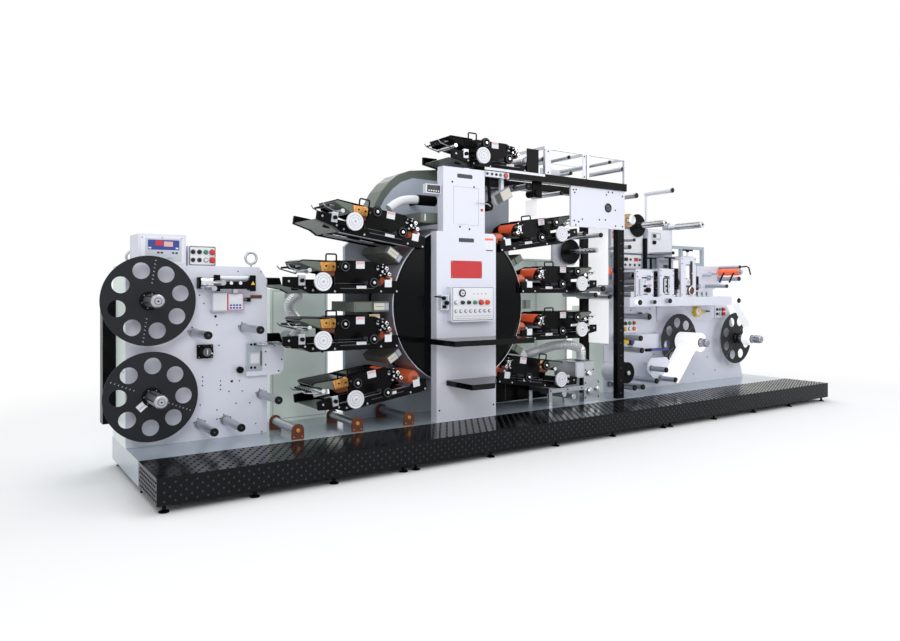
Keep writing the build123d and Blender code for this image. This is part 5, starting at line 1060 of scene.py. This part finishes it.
low.many(slab, [(x, x + 4, 992, 993.6, 214, 398) for x in (2960, 3280, 3600)], "rim_grey")
low.done(stands_for=["floor_roller_brackets"], slot="copper_brown")

# %% [markdown]
# ## Portal and frame on top
# White plates close parts of the idler frame. Below the front beam hang the screws, bars and rollers of the
# web's way. The paper shows only in places, as flat bands a millimetre or two thick. A web under tension
# has no folds, so it needs no cloth simulation.

# %% Portal fittings
BEAM_SCREWS = ((3690, 2164), (3724, 2168), (3706, 2139), (4146, 2176), (4120, 2149), (4201, 2176),
               (3700, 1884), (3755, 1876), (3803, 1903), (4025, 1909), (4106, 1912), (3720, 1845),
               (4243, 1861), (4239, 2011), (4340, 2150), (4340, 1860))
TOP_ROLLERS = ((3644, 2455), (4176, 2465), (3669, 2312))
BEAM_ROLLERS = ((3190, 2158, 26), (3591, 2131, 20), (3040, 2140, 20))
BAY_ROLLERS = ((4101, 1772, 22), (3880, 1774, 20), (4128, 1263, 27), (4219, 1186, 20), (4029, 1206, 22))


def web_roller(piece, x, z, radius, y0, y1):
    """A steel roller with its black cap."""
    piece.add(rod(x, z, radius, y0, y1, 2), "steel")
    rubber_cap(piece, x, z, y0, radius + 0.5)
    piece.add(rod(x, z, radius * 0.7, y1, y1 + 12, 2, 16), "black_satin")


over = Piece("portal_fittings")
for x0, x1 in ((3338, 3405), (3797, 3838)):
    over.add(slab(x0, x1, 503, 509.5, 2270, 2494), "white_plate", edge=1.5)
    screws(over, 502, [((x0 + x1) / 2, z) for z in (2290, 2476)], 7, 4, "black_satin")
over.add(slab(3405, 3640, 640, 646, 2272, 2352), "white_plate", edge=1)
over.add(slab(3150, 3284, 528, 540, 2276, 2482), "black_gloss", edge=3)
for x, z in TOP_ROLLERS:
    web_roller(over, x, z, 16, 520, 1004)
for x, z, radius in BEAM_ROLLERS:
    web_roller(over, x, z, radius, 560, 960)
for x, z, radius in BAY_ROLLERS:
    web_roller(over, x, z, radius, 560, 990)
over.add(slab(3255, 3365, 575, 590, 2070, 2201), "black_satin", edge=3)
over.add(rod(3310, 2110, 34, 560, 700, 3), "black_satin")
over.add(turned([(0, 512), (30, 512), (36, 505), (42, 507), (44, 515), (0, 515)], 4142, 2027, 32),
         "display_dark")
screws(over, 514, BEAM_SCREWS, 8, 4, "black_satin")
screws(over, 534, [(4341, z) for z in range(260, 1800, 120)], 6, 3, "rim_grey")
over.done(slot="white_paint")

# %% Paper webs
web = Piece("paper_web")
web.many(slab, ((4235, 4237, 600, 860, 1300, 1865), (4240, 4242, 600, 860, 733, 1158),
                (3330, 3332, 600, 760, 1912, 2060)), "paper_web")
web.many(prism, (([(5202, 293), (5203, 292), (5498, 628), (5496.5, 629)], 530, 786),
                 ([(6290, 1190), (6292, 1190), (6692, 690), (6690, 690)], 600, 690),
                 ([(6262, 1243), (6300, 1101), (6302, 1101), (6264, 1243)], 600, 780)), "paper_web")
web.done(slot="white_paint")

# %% [markdown]
# ## The finishing end
# Here are die stations with their screws, the boxes of the winder with displays and buttons, and gauges and
# knobs on the face plate. Little of it repeats, so the pieces stand in tables of sizes, and short loops
# build them.

# %% Die stations
stations = Piece("station_details")
for x0, x1, top in ((4660, 4921, 1456), (5019, 5248, 1470), (5361, 5613, 1601)):
    m = (x0 + x1) / 2
    screws(stations, 619, [(x, z) for x in (x0 + 16, x1 - 16) for z in (1200, top - 70, top - 20)], 6, 4,
           "black_satin")
    stations.add(slab(x0 + 20, x1 - 20, 640, 920, top, top + 8), "steel", edge=1)
    stations.add(rod(m - 80, 1290, 16, 646, 912, 2), "chrome")
    stations.add(rod(m + 84, 1262, 20, 646, 912, 2), "aluminium")
stations.many(rod, ((4836, 1376, 26, 596, 620, 3), (4275, 1436, 14, 580, 990, 2),
                    (5660, 1290, 22, 600, 900, 3), (5300, 1240, 20, 600, 900, 3)), "steel")
stations.many(rod, ((4822, 1251, 26, 584, 620, 5), (5290, 1330, 30, 600, 900, 3)), "black_satin")
# These dark cylinders between the stations are partly the dark machinery there and partly painted shade.
for x, z, r in ((4962, 1400, 30), (4972, 1300, 34), (4960, 1215, 22), (5306, 1420, 26), (5318, 1250, 24)):
    stations.add(rod(x, z, r, 640, 920, 3), "black_satin")
stations.add(turned([(14, 594), (22, 594), (22, 597), (14, 597)], 4836, 1376, 28), "rim_grey")
stations.add(rod(4864, 1301, 14, 600, 620, 3), "pale_red")
stations.add(rod(4275, 1436, 30, 600, 900, 3), "orange_rubber")
stations.add(rod(5532, 1430, 9, 604, 616, 1), "chrome")
stations.add(slab(4700, 4744, 600, 620, 1200, 1360), "aluminium", edge=2)
for x in (4610, 5320, 5680, 5760, 5840):
    stations.add(rod(x, 1215, 18, 640, 960, 2), "steel")
    stations.add(slab(x - 24, x + 24, 622, 640, 1180, 1236), "aluminium", edge=2)
for x, top in ((4905, 1577), (5205, 1586)):
    stations.add(pipe([(x, 640, 1466), (x, 640, top)], 13, 14), "black_satin")
    stations.add(pipe([(x - 80, 640, top), (x + 80, 640, top)], 8, 12), "black_satin")
stations.add(pipe([(5487, 633, 1655), (5487, 633, 1676)], 16, 16), "black_satin")
stations.add(pipe([(5410, 633, 1676), (5568, 633, 1676)], 9, 12), "black_satin")
stations.many(slab, ((5292, 5344, 636, 700, 1290, 1480), (5636, 5688, 636, 700, 1250, 1400)), "black_satin",
              edge=6)
for x in (5072, 5134):
    stations.add(prism(rounded(x, x + 30, 1222, 1376, 13), 614, 620.3), "display_dark")
    stations.add(slab(x + 10, x + 20, 610, 616, 1232, 1366), "white_plate")
stations.add(prism(rounded(5516, 5548, 1300, 1560, 12), 614, 620.3), "display_dark")
knob = [(0, 600), (36, 600), (38, 594), (46, 596), (47, 620), (0, 620)]
knob_ring = [(38, 595), (40, 592), (46, 594), (48, 600), (44, 604), (38, 604)]
stations.add(turned(knob, 5508, 1244, 36), "copper_brown")
stations.add(turned(knob_ring, 5508, 1244, 36), "chrome")
for x, z, r, used in ((4656, 1128, 26, "paper_web"), (5118, 1140, 24, "steel"), (4880, 1130, 20, "steel")):
    stations.add(rod(x, z, r, 562, 614, 2), used)
    rubber_cap(stations, x, z, 562, r)
stations.done(slot="white_paint")

# %% Winder boxes and panels
boxes = Piece("winder_details")
WINDER_PANELS = (
    (4612, 5078, 1652, 1878, 900, "white_plate", 2, 6),
    (4620, 4790, 1784, 1858, 898, "red_plate", 1.5),
    (5133, 5506, 1652, 1890, 860, "white_plate", 2, 6),
    (5180, 5330, 1790, 1868, 858, "steel", 3),
    (5200, 5246, 1812, 1850, 855, "display_dark", 2),
    (5262, 5308, 1812, 1850, 855, "white_plate", 2),
    (4697, 5054, 1488, 1612, 900, "white_plate", 2, 6),
    (4797, 4857, 1555, 1592, 898, "display_dark", 2),
    (4950, 5012, 1555, 1592, 898, "red_plate", 2),
    (4738, 4975, 810, 936, 880, "white_plate", 1.5))
for sizes in WINDER_PANELS:
    panel(boxes, *sizes)
for x in (4640, 4700, 4760):
    panel(boxes, x - 16, x + 16, 1806, 1836, 896.5, "pale_red", 0.8)
button(boxes, 5214, 1760, 858, 20, "black_satin", 24)
for x, z in ((4740, 1572), (4893, 1572), (5036, 1572), (4740, 1516), (4812, 1516), (4884, 1516), (4956, 1516),
             (5028, 1516)):
    button(boxes, x, z, 898, 10, "display_dark", 14)
for k, used in enumerate(("display_dark", "green_plastic", "red_plastic", "display_dark", "beige_box",
                          "red_plastic")):
    r, length = (20, 30) if k % 3 == 2 else (14, 14)
    button(boxes, 6358 + (k % 3) * 54, 1026 - (k // 3) * 52, 880, r, used, length)
for k, used in enumerate(("display_dark", "green_plastic", "red_plastic", "yellow_plastic", "white_plate",
                          "orange_plastic")):
    button(boxes, 4790 + (k % 3) * 66, 905 - (k // 3) * 58, 878, 17, used, 18)
boxes.add(slab(5082, 5120, 862, 898, 1470, 1800), "black_satin", edge=4)
boxes.many(slab, ((4900, 5080, 930, 960, 1260, 1390), (4470, 4650, 930, 960, 1230, 1360)), "aluminium",
           edge=2)
for sizes in ((4502, 1673, 20, 560, 900), (5163, 1635, 16, 560, 860), (4730, 1760, 15, 700, 900)):
    web_roller(boxes, *sizes)
boxes.add(turned([(0, 846), (42, 846), (46, 842), (55, 845), (56, 888), (0, 888)], 5970, 1008, 36),
          "yellow_plastic")
boxes.add(rod(5970, 1008, 40, 844.5, 848, 0.5), "white_plate")
boxes.add(slab(5967, 5973, 843, 845, 1004, 1034), "red_plastic")
boxes.add(pipe([(6022, 868, 1008), (6110, 868, 1008)], 12, 12), "yellow_plastic")
boxes.add(pipe([(6108, 868, 1008), (6200, 868, 1008)], 8, 12), "black_satin")
screws(boxes, 887, [(x, z) for x in (5330, 5700, 6300) for z in (920, 1070)], 6, 4, "steel")
screws(boxes, 899, ((4530, 1050), (4530, 700), (4900, 1040), (5200, 1050), (5260, 560), (5950, 300),
                    (6100, 700), (6200, 480), (6350, 320), (5900, 860), (4800, 500)), 7, 4, "black_satin")
print("winder boxes gathered, finishes", len(boxes.finishes))

# %% Winder shafts and rollers
boxes.add(turned([(33, 880), (121, 880), (121, 890), (33, 890)], 4990, 1932, 48), "black_satin")
boxes.add(turned([(44, 658), (67, 658), (67, 897), (44, 897)], 4600, 1948, 40), "card_tan")
boxes.add(turned([(0, 616), (30, 616), (34, 612), (46, 614), (47, 662), (0, 662)], 4600, 1948, 36), "chrome")
for x, z in ((4990, 1932), (5593, 1947)):
    boxes.add(rod(x, z, 10, 514, 522, 2), "display_dark")
    for k in range(SHAFT_RIBS):
        along = turned_put(x, z, 20 + 360 / SHAFT_RIBS * k)
        boxes.add(slab(30, 33.4, 540, 860, -4, 4), "rim_grey", along)
        boxes.many(slab, [(31, 34.5, y, y + 26, -3, 3) for y in range(570, 860, 60)], "display_dark", along)
boxes.add(rod(6375, 1455, 37.5, 592, 858, 3, 40), "orange_rubber")
boxes.add(pipe([(6375, 572, 1513), (6450, 566, 1520), (6492, 560, 1508), (6512, 550, 1426)], 8, 12),
          "black_satin")
for x in (6010, 6190):
    boxes.add(pipe([(x, 604, 1340), (x + 50, 612, 1396), (x + 130, 640, 1440)], 10, 12), "black_satin")
boxes.many(rod, ((6080, 1420, 18, 760, 861, 2), (6180, 1440, 18, 760, 861, 2)), "aluminium")
boxes.add(rod(6310, 1133, 27, 560, 880, 3), "paper_web")
rubber_cap(boxes, 6310, 1133, 560, CAP_RADIUS)
boxes.add(turned([(0, 638.5), (106, 638.5), (106, 651), (0, 651)], 4548, 430, 56), "black_satin")
boxes.many(rod, ((6375, 1455, 20, 570, 592, 1), (4548, 430, 22, 612, 640, 3), (4725, 730, 10, 770, 899, 1)),
           "steel")
boxes.add(pipe([(5020, 740, 628), (5300, 740, 622)], 11, 12), "blue_plastic")
boxes.add(pipe([(4950, 740, 629), (5024, 740, 628)], 17, 12), "black_satin")
boxes.add(rod(4725, 730, 44, 730, 770, 6), "display_dark")
boxes.add(rod(4725, 730, 26, 720, 732, 3), "blue_plastic")
boxes.add(slab(4610, 4680, 730, 770, 708, 748), "yellow_plastic", edge=3)
boxes.add(slab(4640, 4650, 765, 899, 715, 740), "steel", edge=1)
boxes.done(slot="white_paint")

# %% [markdown]
# ## Cabinet doors
# A real door has a gap of a few millimetres round it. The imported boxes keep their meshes, so narrow dark
# strips lie on their faces where the gaps would be. Each door has a handle, and those at the back have vents.

# %% Cabinet doors
SEAM = 3


def door(piece, x0, x1, y0, y1, z0, z1):
    """The dark seams round a door, y0 to y1 deep."""
    for u0, u1, w0, w1 in ((x0, x0 + SEAM, z0, z1), (x1 - SEAM, x1, z0, z1), (x0, x1, z0, z0 + SEAM),
                           (x0, x1, z1 - SEAM, z1)):
        piece.add(slab(u0, u1, y0, y1, w0, w1), "rim_grey")


doors = Piece("cabinet_details")
for x0, x1, y, top in ((1130, 1580, 1240, 1245), (3420, 3820, 1180, 1540), (3835, 4235, 1180, 1540)):
    door(doors, x0, x1, y - 0.8, y + 0.3, 230, top)
    middle = (230 + top) / 2
    doors.add(slab(x1 - 40, x1 - 22, y - 16, y, middle, middle + 90), "black_satin", edge=3)
for x0, x1 in ((40, 440), (455, 860), (4540, 5140), (5160, 5780), (5800, 6460)):
    door(doors, x0, x1, 1359.7, 1361, 240, 1040)
    doors.add(slab(x1 - 40, x1 - 20, 1360, 1374, 600, 690), "black_satin", edge=3)
    doors.many(slab, [(x0 + 120, x1 - 120, 1359.8, 1361, z, z + 8) for z in range(732, 901, 24)], "rim_grey")
doors.many(slab, [(-0.8, 0.3, y, y + 80, 700, 704) for y in (960, 1080, 1200)], "rim_grey")
doors.done(slot="grey_paint")

# %% [markdown]
# ## Light and floor
# A pale floor takes the shadow and fades to pure white some metres out. The world is white too wherever the
# camera or a reflection looks past the press. Four large soft lamps light it evenly.

# %% Floor
FLOOR_RADIUS = 40
FLOOR_SIDES = 64
FADE_START = 3.6
FADE_END = 6.5
floor_mesh = bpy.data.meshes.new("floor")
floor_angles = [math.tau * k / FLOOR_SIDES for k in range(FLOOR_SIDES)]
floor_points = [(FLOOR_RADIUS * math.cos(a), FLOOR_RADIUS * math.sin(a), 0) for a in floor_angles]
floor_mesh.from_pydata(floor_points, [], [list(range(FLOOR_SIDES))])
floor = bpy.data.objects.new("floor", floor_mesh)
bpy.context.scene.collection.objects.link(floor)


def combine(nodes, links, operation, first, second):
    """A Math node on two outputs."""
    made = nodes.new("ShaderNodeMath")
    made.operation = operation
    links.new(first, made.inputs[0])
    links.new(second, made.inputs[1])
    return made.outputs[0]


def background_rays(nodes, links):
    """1 for rays that should meet a white background."""
    path = nodes.new("ShaderNodeLightPath").outputs
    seen = combine(nodes, links, "MAXIMUM", path["Is Camera Ray"], path["Is Glossy Ray"])
    return combine(nodes, links, "MAXIMUM", seen, path["Is Transmission Ray"])


def blend_shaders(nodes, links, share, first, second, surface):
    """Sends first to the surface where share is 0, and second where it is 1."""
    mixed = nodes.new("ShaderNodeMixShader")
    for index, source in enumerate((share, first, second)):
        links.new(source, mixed.inputs[index])
    links.new(mixed.outputs[0], surface)


ground = bpy.data.materials.new("studio_floor")
ground.use_nodes = True
nodes = ground.node_tree.nodes
links = ground.node_tree.links
plain = nodes["Principled BSDF"]
plain.inputs["Base Color"].default_value = (0.93, 0.93, 0.93, 1)
plain.inputs["Roughness"].default_value = 0.9
plain.inputs["Specular IOR Level"].default_value = 0.1
glow = nodes.new("ShaderNodeEmission")
glow.inputs["Strength"].default_value = 1.0
where = nodes.new("ShaderNodeTexCoord")
far = nodes.new("ShaderNodeVectorMath")
far.operation = "LENGTH"
links.new(where.outputs["Object"], far.inputs[0])
fade = nodes.new("ShaderNodeMapRange")
fade.interpolation_type = "SMOOTHSTEP"
fade.inputs["From Min"].default_value = FADE_START
fade.inputs["From Max"].default_value = FADE_END
links.new(far.outputs["Value"], fade.inputs["Value"])
share = combine(nodes, links, "MULTIPLY", fade.outputs["Result"], background_rays(nodes, links))
blend_shaders(nodes, links, share, plain.outputs[0], glow.outputs[0],
              nodes["Material Output"].inputs["Surface"])
floor_mesh.materials.append(ground)
print("floor", FLOOR_RADIUS, "m, white from", FADE_END, "m out")

# %% World and lamps
LAMPS = (("key", (-5.5, -6.5, 5.5), 4.0, 250), ("fill", (5.0, -7.0, 4.0), 5.0, 170),
         ("top", (0.0, 0.5, 7.0), 6.0, 200), ("back", (2.0, 6.0, 5.0), 5.0, 120))
LAMP_AIM = Vector((0, 0, 1.0))
world = bpy.data.worlds.new("studio")
bpy.context.scene.world = world
world.use_nodes = True
nodes = world.node_tree.nodes
links = world.node_tree.links
soft = nodes["Background"]
soft.inputs["Color"].default_value = (0.93, 0.96, 1.0, 1)
soft.inputs["Strength"].default_value = 0.6
white = nodes.new("ShaderNodeBackground")
white.inputs["Color"].default_value = (1, 1, 1, 1)
white.inputs["Strength"].default_value = 1.0
blend_shaders(nodes, links, background_rays(nodes, links), soft.outputs[0], white.outputs[0],
              nodes["World Output"].inputs["Surface"])
for name, place, size, power in LAMPS:
    data = bpy.data.lights.new(name, "AREA")
    data.size = size
    data.energy = power
    lamp = bpy.data.objects.new(name, data)
    lamp.location = place
    lamp.rotation_euler = (LAMP_AIM - Vector(place)).to_track_quat("-Z", "Y").to_euler()
    bpy.context.scene.collection.objects.link(lamp)
print("lamps", len(LAMPS))
